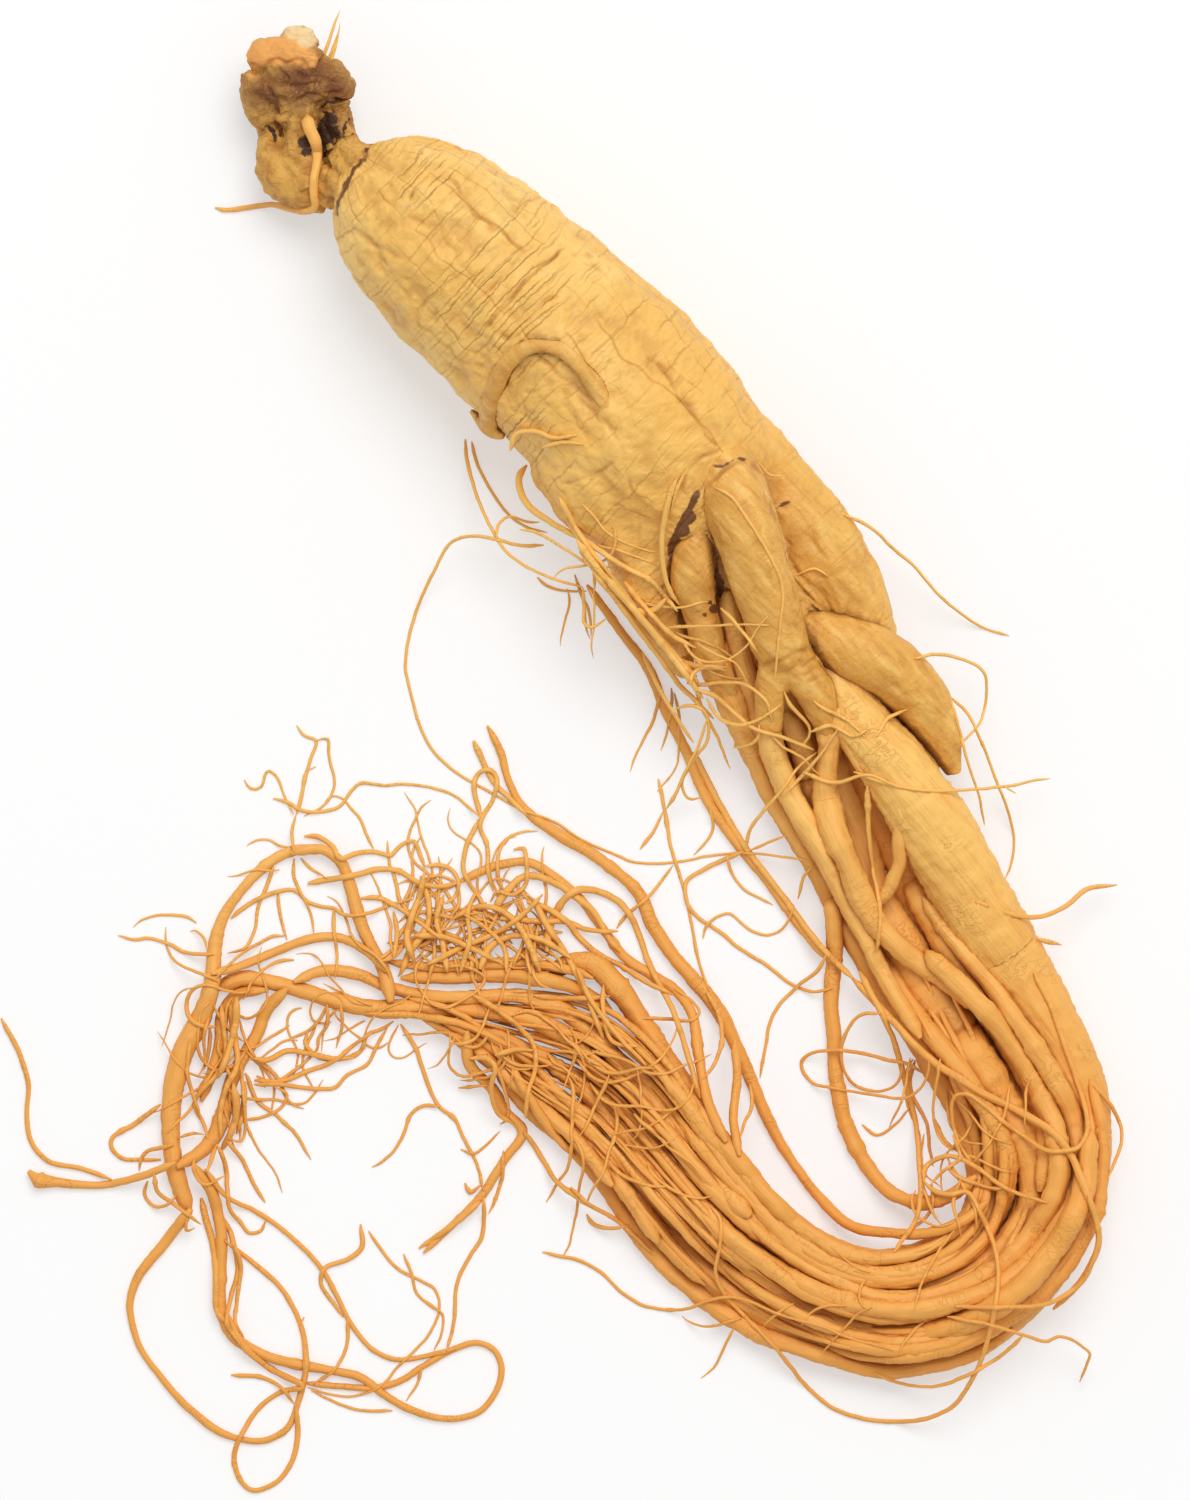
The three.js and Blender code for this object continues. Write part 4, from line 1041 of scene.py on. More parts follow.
neck = {
    "fine": 0.22,
    "step": 0.8,
    "smoothing": 3,
    "relief": {"Lump Height": 1.5, "Lump Size": 4.0, "Knob Height": 1.3, "Knob Size": 1.9,
               "Pucker Height": 0.6, "Soft Height": 0.6, "Ring Depth": 0.0, "Wrinkle Depth": 0.0,
               "Crease Depth": 0.8},
    "parts": [
        [(-26, 84, 12.5, 7), (-29.6, 85.6, 12, 6), (-32.6, 87.4, 10.6, 4.6)],  # joins the body
        [(-37.4, 84.6, 9, 3.6), (-38.6, 88, 9, 3.4), (-39, 92, 9, 2.7), (-38.9, 95, 9.4, 2.8),
         (-39.4, 98.4, 9, 4)],  # the pale column
        [(-33, 90, 7, 3.2), (-33.8, 93, 6.4, 2.7), (-34.6, 96.4, 7, 3)],  # the far wall of the hollow
        [(-32, 91.8, 9, 1.9), (-33.4, 94.6, 9, 1.5), (-33.6, 97.6, 9.4, 2.2)],
        [(-29.8, 90.2, 12.6, 2), (-31.6, 89.6, 12.4, 2.6), (-33, 88, 11.6, 2.2)],  # the collar's lumps
        [(-32.8, 86.4, 12, 2.8), (-34.4, 84.2, 10, 3.2), (-35.2, 87, 9, 2.6)],
        [(-43.6, 94.6, 6.4, 2.1), (-43.2, 92.6, 6.4, 2), (-42.9, 90.6, 7.2, 2.5), (-42.4, 88.2, 7.6, 3.3),
         (-40.9, 86, 7.8, 3.7), (-38.4, 85, 8, 3.9), (-35.4, 84.6, 8.4, 3.8)],  # the rounded lobe
        [(-37, 90, 5, 2.4), (-34.6, 89.4, 5.4, 2.6), (-32, 88.6, 6, 2.6)],  # the floor of the hollow
        [(-44.6, 102, 8.4, 3.4), (-44.4, 98.8, 8, 3.7), (-44.3, 96.4, 7.8, 3.2), (-43.4, 94.8, 7.4, 2.4)],
        [(-41.8, 98.2, 9.6, 3.4), (-39.2, 101, 9.6, 4.6), (-36.4, 100.6, 9.4, 4), (-34.2, 100, 8.8, 3.4),
         (-33.8, 98, 8.6, 2.8)],
        [(-41.4, 96.6, 10, 2.2), (-40.4, 95, 9.6, 1.6)],
    ],
    "cap": [
        [(-46.4, 103.9, 9.8, 1.7), (-44.4, 104.3, 10.6, 2.8), (-41.4, 104.4, 11.2, 3),
         (-38.6, 104, 11.4, 2.8), (-36.4, 102.8, 11.4, 2.2)],
        [(-40.6, 105.6, 9.4, 2), (-40, 107.2, 9, 1.8), (-38.6, 106.8, 9, 2), (-37.2, 105.2, 9.6, 1.7)],
    ],
    # dry straws at the cap's right, as x, y, height and radius
    "straws": [
        [(-35.6, 104, 10.4, 0.32), (-34.8, 106, 10.8, 0.3), (-33.8, 109, 11.2, 0.2),
         (-33, 111.2, 11.4, 0.08)],
        [(-34.7, 102.6, 10.2, 0.3), (-34, 104.6, 10.4, 0.26), (-33.4, 106.8, 10.6, 0.18),
         (-33, 108.4, 10.6, 0.08)],
        [(-35, 103.4, 10.4, 0.2), (-34, 105.6, 10.6, 0.18), (-33.2, 108, 10.8, 0.12),
         (-32.9, 109.4, 10.8, 0.06)],
    ],
    # x, y, reach and strength of the brown bark, the painted shadow in the deep hollow, the orange cap and
    # the papery stub
    "bark": [(-38, 100.4, 5.6, 1.1), (-34, 99.4, 4, 1), (-44, 98.6, 3.6, 1), (-34, 94, 2.4, 0.7),
             (-41, 100.8, 3, 0.9), (-36.4, 97.6, 2.6, 0.5)],
    "pitShadow": [(-38.1, 91.2, 1.2, 1.4), (-38, 90, 1, 1.1), (-34.9, 92.8, 2, 1.5), (-34.5, 94.8, 1.4, 1.2),
            (-35.8, 91, 1.5, 1.2), (-36.4, 92.6, 1.2, 1.2)],
    "capTone": [(-46, 104.2, 2.6, 1.2), (-43, 105, 3, 1.2), (-40, 105, 2.8, 1.2), (-37.6, 103.8, 1.9, 1),
                (-46.4, 101.4, 1.2, 0.6)],
    "paper": [(-40, 108.2, 1.8, 1.1), (-38, 107, 1.9, 1.1)],
    # lines of painted shadow in the creases round the hollow
    "pitShadowLines": [(1.3, 0.5, [(-28.6, 90.6), (-29.8, 88.4), (-31, 86.4), (-32, 84.4), (-32.8, 82.2)]),
                 (1.2, 0.4, [(-34.6, 91.4), (-35.6, 89.6), (-37, 88.6)]),
                 (1.1, 0.4, [(-44.4, 94.4), (-43.2, 93), (-42.4, 91.4)]),
                 (1.2, 0.4, [(-31.8, 95), (-32.6, 93), (-31.6, 91)]),
                 (1, 0.3, [(-36.2, 96.6), (-34.8, 97.4), (-33, 96.8)])],
    "calm": [(-45.4, 104.4, 3, 1), (-42, 105, 3.4, 1), (-39, 105, 3, 1), (-40, 108, 2.4, 0.8),
             (-40, 85, 5, 0.7), (-43.6, 88, 3, 0.7), (-44.4, 99, 3, 0.5)],
    "side": [(-38, 94, 900, 1)],
    # strength, width and points of the creases between its lumps
    "creases": [
        (1, 0.6, [(-28.5, 91), (-30.4, 88), (-32, 84.6), (-33.5, 81)]),
        (1, 0.4, [(-47.4, 103.2), (-45.7, 102.4), (-44.2, 102), (-43.4, 103), (-42.4, 103.4), (-41, 103),
                  (-39.4, 103.4), (-37.4, 102.2), (-35.6, 102)]),
        (0.8, 0.4, [(-42.4, 102.6), (-41, 101), (-41.6, 98.6), (-40, 97), (-38.6, 97.9), (-36, 98.2),
                    (-34.4, 97.6)]),
        (0.7, 0.4, [(-40.4, 102.2), (-38.4, 101), (-36.4, 101.4), (-34.4, 100.4), (-32.6, 100.2)]),
        (0.7, 0.4, [(-41, 100), (-39.4, 99.4), (-37.4, 99.6)]),
        (0.8, 0.5, [(-47, 97.6), (-45.4, 98.4), (-43.4, 97.2), (-42, 95.6), (-40.8, 95)]),
        (0.7, 0.4, [(-45.4, 101.6), (-45, 99.6), (-45.6, 98)]),
        (0.8, 0.5, [(-45, 93.6), (-43.6, 92.6), (-42.4, 91.4)]),
        (0.6, 0.4, [(-41.2, 94.4), (-41.4, 91.4), (-40.8, 89)]),
        (0.6, 0.5, [(-34.6, 88), (-33.4, 86), (-34, 83.6), (-34.8, 81.8)]),
        (0.7, 0.5, [(-33.6, 90.4), (-32, 88.4), (-30.6, 87.6)]),
    ],
}


def makeNeck():
    routes = heap.holdAll(neck["parts"] + neck["cap"], neck["step"])
    mesh = fused("neck", tubesMesh("neck", routes), neck["fine"], neck["smoothing"])
    masks = {label: neck[label] for label in ("bark", "capTone", "paper", "calm", "side")}
    return shaped("neck", mesh, neck["creases"], neck["relief"], neckMaterial, masks,
                  neck["pitShadow"], neck["pitShadowLines"])


neckPiece = makeNeck()
print("body and neck")


def skinBelow(*pieces):
    # the upper surface of finished pieces, for rootlets to lie on
    vertices, triangles = [], []
    for piece in pieces:
        mesh = piece.data
        shift = len(vertices)
        vertices += [v.co.copy() for v in mesh.vertices]
        triangles += [tuple(c + shift for c in t.vertices) for t in mesh.loop_triangles]
    return BVHTree.FromPolygons(vertices, triangles)


closeness = {
    "reach": 6.0,  # how far off a surface still closes a place in
    "lift": 0.12,  # rays start this far above the skin
    "tilt": math.radians(50),  # of the four rays round the upright one
}


def shade(piece, ground):
    # how much each vertex is closed in by its surroundings, from 0 in the open to 1 deep between parts; the
    # skins paint shade into their colour by it
    mesh = piece.data
    reach = closeness["reach"] * mm
    upright, level = math.cos(closeness["tilt"]), math.sin(closeness["tilt"])
    values = []
    for place, normal in zip(positions(mesh), normals(mesh)):
        place, normal = Vector(place), Vector(normal).normalized()
        side = normal.orthogonal().normalized()
        other = normal.cross(side)
        start = place + normal * (closeness["lift"] * mm)
        rays = [normal] + [normal * upright + tilt * level for tilt in (side, other, -side, -other)]
        closed = 0.0
        for ray in rays:
            distance = ground.ray_cast(start, ray, reach)[3]
            if distance is not None:
                closed += 1 - distance / reach
        values.append(closed / len(rays))
    addAttribute(mesh, "shade", values)


# Legs and strands, in the order in which they lie on each other.

rightLeg = [
    (38.4, 15, 2.6, 11.6), (42, 9.6, 3.8, 12.2), (46, 3.1, 4.6, 12.2), (50.2, -2.4, 5.2, 11.8),
    (54, -8.2, 5.7, 11), (58, -14.6, 5.8, 9.4), (61.5, -21, 5.7, 8), (65.2, -27.4, 5.6, 6.6),
    (69, -33.6, 5.2), (72.7, -39.5, 4.8), (76, -45.6, 4.3), (78.7, -52.4, 3.8), (79.6, -60, 3.3),
    (78.7, -67, 3.2), (75.7, -74, 3.1), (71, -81, 3), (64, -87, 2.9), (56, -90, 2.6),
    (48, -90, 2.4), (40, -88.2, 2.3), (33, -85.6, 2.1), (26, -81.8, 2), (20, -76.4, 1.8),
    (15, -70.4, 1.6), (11, -65, 1.4)]

legs = [
    [(21.4, 34.6, 1.4, 18.4), (20.6, 32.4, 2.5, 18.8), (20.1, 29.4, 3.2, 18.8), (20.2, 25.6, 3.2, 18),
     (20.7, 22, 2.5, 16.6), (21.4, 18.8, 2.4, 15.2), (22.8, 14.5, 2.6, 13.2), (24.6, 10, 2.4, 11),
     (26.6, 5, 2.1, 9), (28.9, 0, 1.9, 7), (31.4, -5.5, 1.8), (35.6, -12.5, 1.8), (39.5, -19, 1.8),
     (43.4, -26.5, 1.8), (47.5, -34, 1.8), (52, -41, 1.8), (56, -47.5, 1.8), (59.5, -53, 1.8),
     (61.8, -58, 1.8), (62.9, -63, 1.9), (62.7, -67.5, 1.9), (60, -71.8, 1.9), (55, -75, 1.9),
     (49, -76.3, 1.8), (43, -75.5, 1.8), (36.5, -72.5, 1.7), (31, -68.5, 1.7), (27, -63.5, 1.6),
     (23, -58, 1.5), (19.5, -52.5, 1.4), (16, -47.5, 1.3), (11, -43, 1.2)],
    [(37.4, 11, 2.2, 5), (39.8, 3.5, 2.3, 4.2), (42.4, -5, 2.3, 3.4), (45, -13, 2.4, 3),
     (47.2, -20, 2.6, 2.8), (49.8, -25.6, 3, 3), (53, -31.5, 3.5, 3.5), (57, -38, 3.7, 3.7),
     (61, -44, 3.6, 3.6), (64.7, -50, 3.3), (68.3, -55.5, 2.9), (70.6, -61, 2.5), (71, -66.5, 2.3),
     (68.6, -72, 2.2), (63.5, -77, 2.2), (57, -80, 2.1), (50, -81, 2), (43, -79.6, 1.9),
     (37, -76.2, 1.8), (31, -71.6, 1.7), (25.5, -66, 1.6), (21, -60, 1.5), (17, -54, 1.4),
     (12, -49, 1.2), (6, -45, 1.1)],
    [(52, -6, 1.4, 5.4), (51.6, -13, 1.8, 4), (53.4, -20.6, 2.1, 2.6), (57.4, -28, 2.2),
     (61.4, -34.6, 2.2), (65.6, -41, 2), (69.6, -47.6, 1.9), (72.4, -54, 1.8), (73.2, -60.4, 1.6),
     (72, -66, 1.4)],
    [(25, 24, 1.5, 16), (26, 18.4, 1.9, 13.8), (27.6, 12, 1.7, 11.6), (29, 7, 1.3, 9.6),
     (30.8, 1, 1.4, 7.6), (33.8, -5.5, 1.5), (37.5, -12.5, 1.5), (42, -20.5, 1.5),
     (46.5, -28.5, 1.4), (51.5, -36.5, 1.4),
     (57, -44, 1.5), (61.6, -50, 1.5), (65, -55, 1.5), (67.2, -61, 1.5), (66.8, -67, 1.5),
     (63.6, -72.4, 1.5), (58, -76.6, 1.5), (51.5, -78.6, 1.5), (45, -78, 1.5)],
    [(33.8, 6, 1.4, 9), (36.2, 0.6, 1.9, 7.4), (37.4, -4.4, 1.9, 5.6), (39.4, -10, 1.8),
     (42.2, -16, 1.6), (45.6, -22.6, 1.5), (49.4, -29.6, 1.4)],
    [(33.4, 15.5, 3, 17.5), (31.6, 9, 2.1, 15.6), (31.4, 3, 1.9, 13.4), (32.6, -1.6, 1.9, 11),
     (34.3, -6, 2), (36.6, -10, 1.9), (39.5, -15, 1.7), (42.6, -21.2, 1.6), (46, -28, 1.5),
     (50, -36, 1.4), (54, -43, 1.2)],
    [(34.6, 14, 3.2, 16.6), (36.8, 11.2, 3, 15.6), (39, 7.6, 2.7, 14.8), (40.2, 3.4, 1.9, 13.4),
     (40.2, -1, 1.6, 11.6), (39.9, -5, 2, 9.8), (40.4, -9, 2.3), (41.8, -13.6, 2),
     (43.6, -17.8, 1.9), (45.2, -22, 1.9), (47.4, -25.8, 1.8), (50.4, -28.9, 1.7), (54.6, -32, 1.6),
     (58.9, -35.2, 1.5), (63, -38.4, 1.3)],
    [(39.6, 7, 2.4, 14.6), (42.2, 4.2, 1.9, 14), (44.4, -0.2, 1.3, 13.4), (46.8, -4.6, 1.1, 12.8),
     (48.8, -8.8, 0.9, 12.4)],
    [(51.6, -9.2, 1.3, 13.6), (50.8, -13.4, 1.2, 12.4), (51, -16.6, 1.1, 10.8),
     (49.6, -20, 1.1, 9.4), (47.8, -23, 1, 8.6)],
    [(55, -30, 1.3, 5), (60, -35, 1.6), (65, -40.2, 1.7), (69, -45.5, 1.7),
     (72, -51, 1.7), (74.2, -57, 1.7), (74.8, -63, 1.7), (73, -69, 1.7), (69, -74.6, 1.7),
     (63, -79, 1.7), (56, -81.8, 1.6), (48.5, -82, 1.6), (42, -79.6, 1.5), (36.6, -75.6, 1.4),
     (31.4, -70, 1.4), (27, -64.4, 1.3), (24.4, -58, 1.2)],
    [(54.4, -21.6, 0.9, 7), (57.2, -25.6, 1.2), (60.8, -30, 1.3), (65, -35.6, 1.4),
     (69.6, -42, 1.5), (74, -49, 1.6), (76.8, -55, 1.6), (77.8, -61, 1.6), (76.8, -67, 1.6),
     (73.8, -73, 1.6), (68.8, -78, 1.6), (62, -81.6, 1.5), (55, -83.4, 1.5), (48, -83.6, 1.4),
     (41, -82, 1.3), (35, -78.4, 1.2), (29, -73.4, 1.1)],
]

tailStrands = [
    [(79.4, -57, 1.6), (78.6, -64.5, 1.8), (76, -71.5, 1.8), (71.8, -77.6, 1.9), (66, -82.6, 1.9),
     (59, -86, 1.9), (51.5, -87.3, 1.9), (44, -86.3, 1.9), (37.5, -83.8, 1.9), (32, -80, 1.9),
     (27, -75.5, 1.9), (22.5, -70.5, 1.8), (18, -65, 1.8), (14, -59.5, 1.7), (10.4, -54, 1.6),
     (7, -49, 1.5), (3, -44.5, 1.5), (-2, -41, 1.5), (-8, -39.4, 1.4), (-15, -38.7, 1.4),
     (-22, -38.6, 1.4), (-28, -38.6, 1.4), (-33, -37.6, 1.3), (-38, -36, 1.2), (-43, -34.6, 1.2),
     (-47.5, -34, 1.2), (-52, -35.6, 1.2)],
    [(68, -86.6, 0.8), (62, -90.6, 1.1), (56, -92.2, 1.2), (48.6, -92.9, 1.2), (41, -91, 1.3),
     (33, -88.6, 1.4), (25.6, -85, 1.5), (19.4, -80.4, 1.5), (13.8, -74.8, 1.5), (9.4, -69, 1.4),
     (5.6, -63.6, 1.4), (1.4, -58.8, 1.3), (-3, -55.4, 1.2), (-7, -51, 1.2), (-10, -46.6, 1.1),
     (-13.4, -43.8, 0.9)],
    [(22, -80, 1.1), (16.6, -74.6, 1.4), (12.2, -68, 1.5), (8.4, -61.6, 1.5), (4.2, -56, 1.4),
     (-0.6, -51.6, 1.4), (-6, -47.6, 1.3), (-11, -44.6, 1)],
    [(30, -77.6, 1.2), (24, -73.4, 1.3), (18.6, -68.4, 1.4), (13.6, -63, 1.4), (9, -57.4, 1.4),
     (4.6, -52, 1.3), (-0.6, -47.6, 1.3), (-6.6, -44, 1.2), (-13, -41.6, 1.2), (-19, -40.6, 1)],
    [(-1.6, -33.6, 1.3), (1.6, -31.6, 1.5), (4.6, -31.5, 1.7), (7.6, -34.2, 1.8), (10.5, -38, 1.8),
     (14, -43.2, 1.7), (17.2, -48, 1.7), (20.4, -52.7, 1.6), (23.7, -57.4, 1.5), (27.6, -62.4, 1.5),
     (32, -67.5, 1.4), (37, -71.8, 1.4), (43, -75, 1.2)],
    [(28.5, -69.6, 1.5), (23.5, -64.6, 1.6), (19, -59.4, 1.6), (14.6, -53.8, 1.6), (10, -48, 1.5),
     (5, -42.6, 1.4), (0, -38.6, 1.3), (-6, -36.6, 1.2), (-13, -36.8, 1.1), (-20, -36.6, 1),
     (-25, -35.5, 0.9), (-30, -33.6, 0.9), (-35.5, -32.8, 0.9), (-40, -34.6, 0.8)],
    [(8, -39, 0.9), (3, -35.8, 1.1), (-3, -34, 1.2), (-10, -33.4, 1.2), (-17, -33.8, 1.1), (-24, -34, 0.8)],
    [(5, -34, 0.6), (0, -32.4, 0.8), (-6, -31.8, 0.9), (-12, -31.8, 0.9), (-19, -32.4, 0.8),
     (-26, -31.6, 0.6)],
    [(-44, -35.6, 0.7), (-48.4, -36.4, 0.9), (-50.6, -39.6, 1), (-51, -44, 1), (-52.4, -48.4, 0.9),
     (-54, -52.6, 0.7)],
]

longStrands = [
    [(39.8, -17.4, 1, 1.8), (40.9, -22.6, 1.3, 1.7), (41.2, -30, 1.3), (40.8, -37, 1.2), (41.3, -44, 1.2),
     (41.7, -50, 1.2), (43, -56, 1.2), (46, -62, 1.15), (50, -66.4, 1.1), (55, -67.6, 1),
     (59, -66.4, 1), (62.4, -63.6, 0.9)],
    [(4, 25, 0.6, 3), (10, 17, 0.7), (13, 13, 0.8), (16, 6, 0.8), (19, 0, 0.8), (22, -7, 0.8),
     (26, -13, 0.8), (31, -19, 0.8), (36, -26, 0.8), (40.6, -31.4, 0.8)],
    [(-11, 4, 0.5), (-9, 0, 0.6), (-7.5, -5, 0.6), (-5, -9, 0.7), (0, -12.5, 0.9), (5, -15.5, 0.9),
     (9, -18.5, 0.9), (12, -21.5, 1), (14, -26, 1.1), (16.5, -30, 1.1), (20, -34, 1.2),
     (23, -37.7, 1.2), (26, -43, 1.1), (28.7, -49, 1), (31, -54.7, 0.9), (34.5, -61, 0.8),
     (39, -67, 0.8), (44, -71.3, 0.85), (50, -72.2, 0.85), (56, -72, 0.85), (60.5, -70.2, 0.85),
     (64, -67.5, 0.8)],
    [(-15, -19.4, 0.7), (-10, -17.2, 0.7), (-5, -16.5, 0.7), (-1, -18.6, 0.7), (3, -22, 0.7),
     (6, -26, 0.7), (9.5, -30.6, 0.8), (13.6, -33.4, 0.8), (17.6, -36, 0.8), (20, -40, 0.8),
     (20.8, -46, 0.8), (22.4, -53, 0.8), (25, -58.4, 0.8)],
    [(26.3, -43.4, 0.7), (26.6, -49, 0.7), (26, -55, 0.7), (27, -60.5, 0.7)],
    [(-34.6, -14.9, 0.7), (-40, -14.9, 0.8), (-44, -16.8, 0.8), (-48, -20.8, 0.8), (-50.8, -25.2, 0.9),
     (-52, -30, 1.1), (-52.4, -35, 1.3), (-54, -40, 1.6), (-56.7, -45, 1.7), (-58, -50, 1.6),
     (-58.5, -55, 1.5), (-58.3, -60, 1.5), (-57.3, -65, 1.4), (-55.6, -69.6, 1)],
    [(-40.4, -15.2, 0.8), (-36, -14.6, 0.8), (-33, -16.5, 0.9), (-31.6, -20, 1), (-30.4, -24.5, 1),
     (-28.6, -28.6, 1), (-26.6, -32.6, 1), (-25.4, -37.6, 1.2)],
    [(-52.4, -33.4, 0.7), (-47, -31.7, 0.7), (-42, -29.6, 0.7), (-37, -28, 0.7), (-33, -28, 0.7),
     (-29, -30, 0.7), (-26, -33, 0.7)],
    [(-41, -35.4, 0.9), (-44, -38.5, 1), (-45.6, -42.5, 1), (-48, -46.5, 1), (-49.6, -50, 1.1),
     (-50.6, -54, 1.2), (-52, -57.6, 1.2), (-54.4, -60.4, 1.1), (-57.6, -62.4, 1)],
    [(-14, -42, 0.9), (-13.6, -47, 0.9), (-10.4, -50.4, 0.9), (-8.4, -54, 0.8), (-5.6, -57, 0.8),
     (-8.4, -61.4, 0.7), (-11.3, -66, 0.7), (-15, -70, 0.6), (-20.6, -75.3, 0.5)],
    [(-80, -63, 1), (-78.4, -64.4, 1.2), (-75.6, -64.8, 0.8), (-70, -65.2, 0.6), (-66, -64.6, 0.6),
     (-62, -63.4, 0.6), (-57.6, -61.6, 0.6)],
    [(-55, -62, 0.9), (-52.4, -66, 0.9), (-51, -72, 0.9), (-51, -78, 0.9), (-51, -83.6, 0.9),
     (-49, -88, 0.9), (-44.6, -90.6, 0.8), (-39.4, -92.2, 0.8), (-34, -93.1, 0.7), (-30, -94, 0.7),
     (-26, -97, 0.6), (-21, -99.5, 0.6), (-16, -100.2, 0.5), (-12, -99, 0.5), (-9.6, -96, 0.5),
     (-8.8, -93, 0.5), (-9.8, -90, 0.5), (-12.5, -88.8, 0.5), (-16, -89.8, 0.5), (-20, -92, 0.5),
     (-24, -94.7, 0.5), (-28, -95.6, 0.5), (-33, -95.4, 0.5), (-38.4, -95, 0.5)],
    [(-55.4, -68.6, 0.9), (-60, -74.5, 0.8), (-63.5, -79, 0.7), (-64.7, -83, 0.6), (-63.5, -89, 0.5),
     (-60, -94, 0.5), (-56, -98.5, 0.6), (-51.5, -102, 0.6), (-48, -103.3, 0.5), (-44, -103.4, 0.5),
     (-41, -101.6, 0.5), (-39.4, -98, 0.5), (-38.4, -94, 0.5), (-38.2, -90, 0.5), (-39, -86, 0.4),
     (-42, -80.6, 0.4), (-46, -77, 0.4), (-50.4, -73.4, 0.4)],
    [(-50.4, -84, 0.5), (-47, -90, 0.5), (-43, -93, 0.5), (-38.6, -95.4, 0.5), (-42, -96.2, 0.4),
     (-45, -98.4, 0.4), (-48, -103, 0.4), (-49, -107, 0.4), (-46.5, -110.9, 0.4), (-43, -110, 0.4),
     (-40.5, -107, 0.4), (-39.5, -102, 0.4), (-39.8, -98, 0.4)],
    [(-53.4, -62.6, 0.5), (-50, -67, 0.4), (-46, -69, 0.4), (-41, -72.5, 0.4), (-36, -77.5, 0.4),
     (-33.5, -82, 0.4), (-31.5, -86, 0.4), (-28, -90, 0.4), (-24.5, -91.4, 0.4), (-20, -90.8, 0.4),
     (-15.6, -89.7, 0.4)],
    [(-84, -40, 0.4), (-81.5, -45, 0.4), (-80, -50, 0.4), (-80.2, -55, 0.4), (-79.4, -59, 0.4),
     (-77, -61.5, 0.4), (-72, -62.6, 0.4), (-67.4, -64.2, 0.4)],
    [(61, -22, 0.5), (68, -24.3, 0.4), (72, -24.7, 0.4), (76, -23, 0.4), (79, -20.6, 0.4),
     (83.6, -20, 0.3)],
    [(44, -34, 0.6), (50, -40.4, 0.6), (55, -45.5, 0.6), (60, -49, 0.6), (65, -52, 0.6),
     (70, -54.5, 0.6), (74, -57, 0.6), (76.6, -60.6, 0.6), (78.6, -65.4, 0.6), (80.2, -70, 0.5),
     (80.6, -74, 0.5), (78.4, -79, 0.5), (74, -83.6, 0.5)],
]

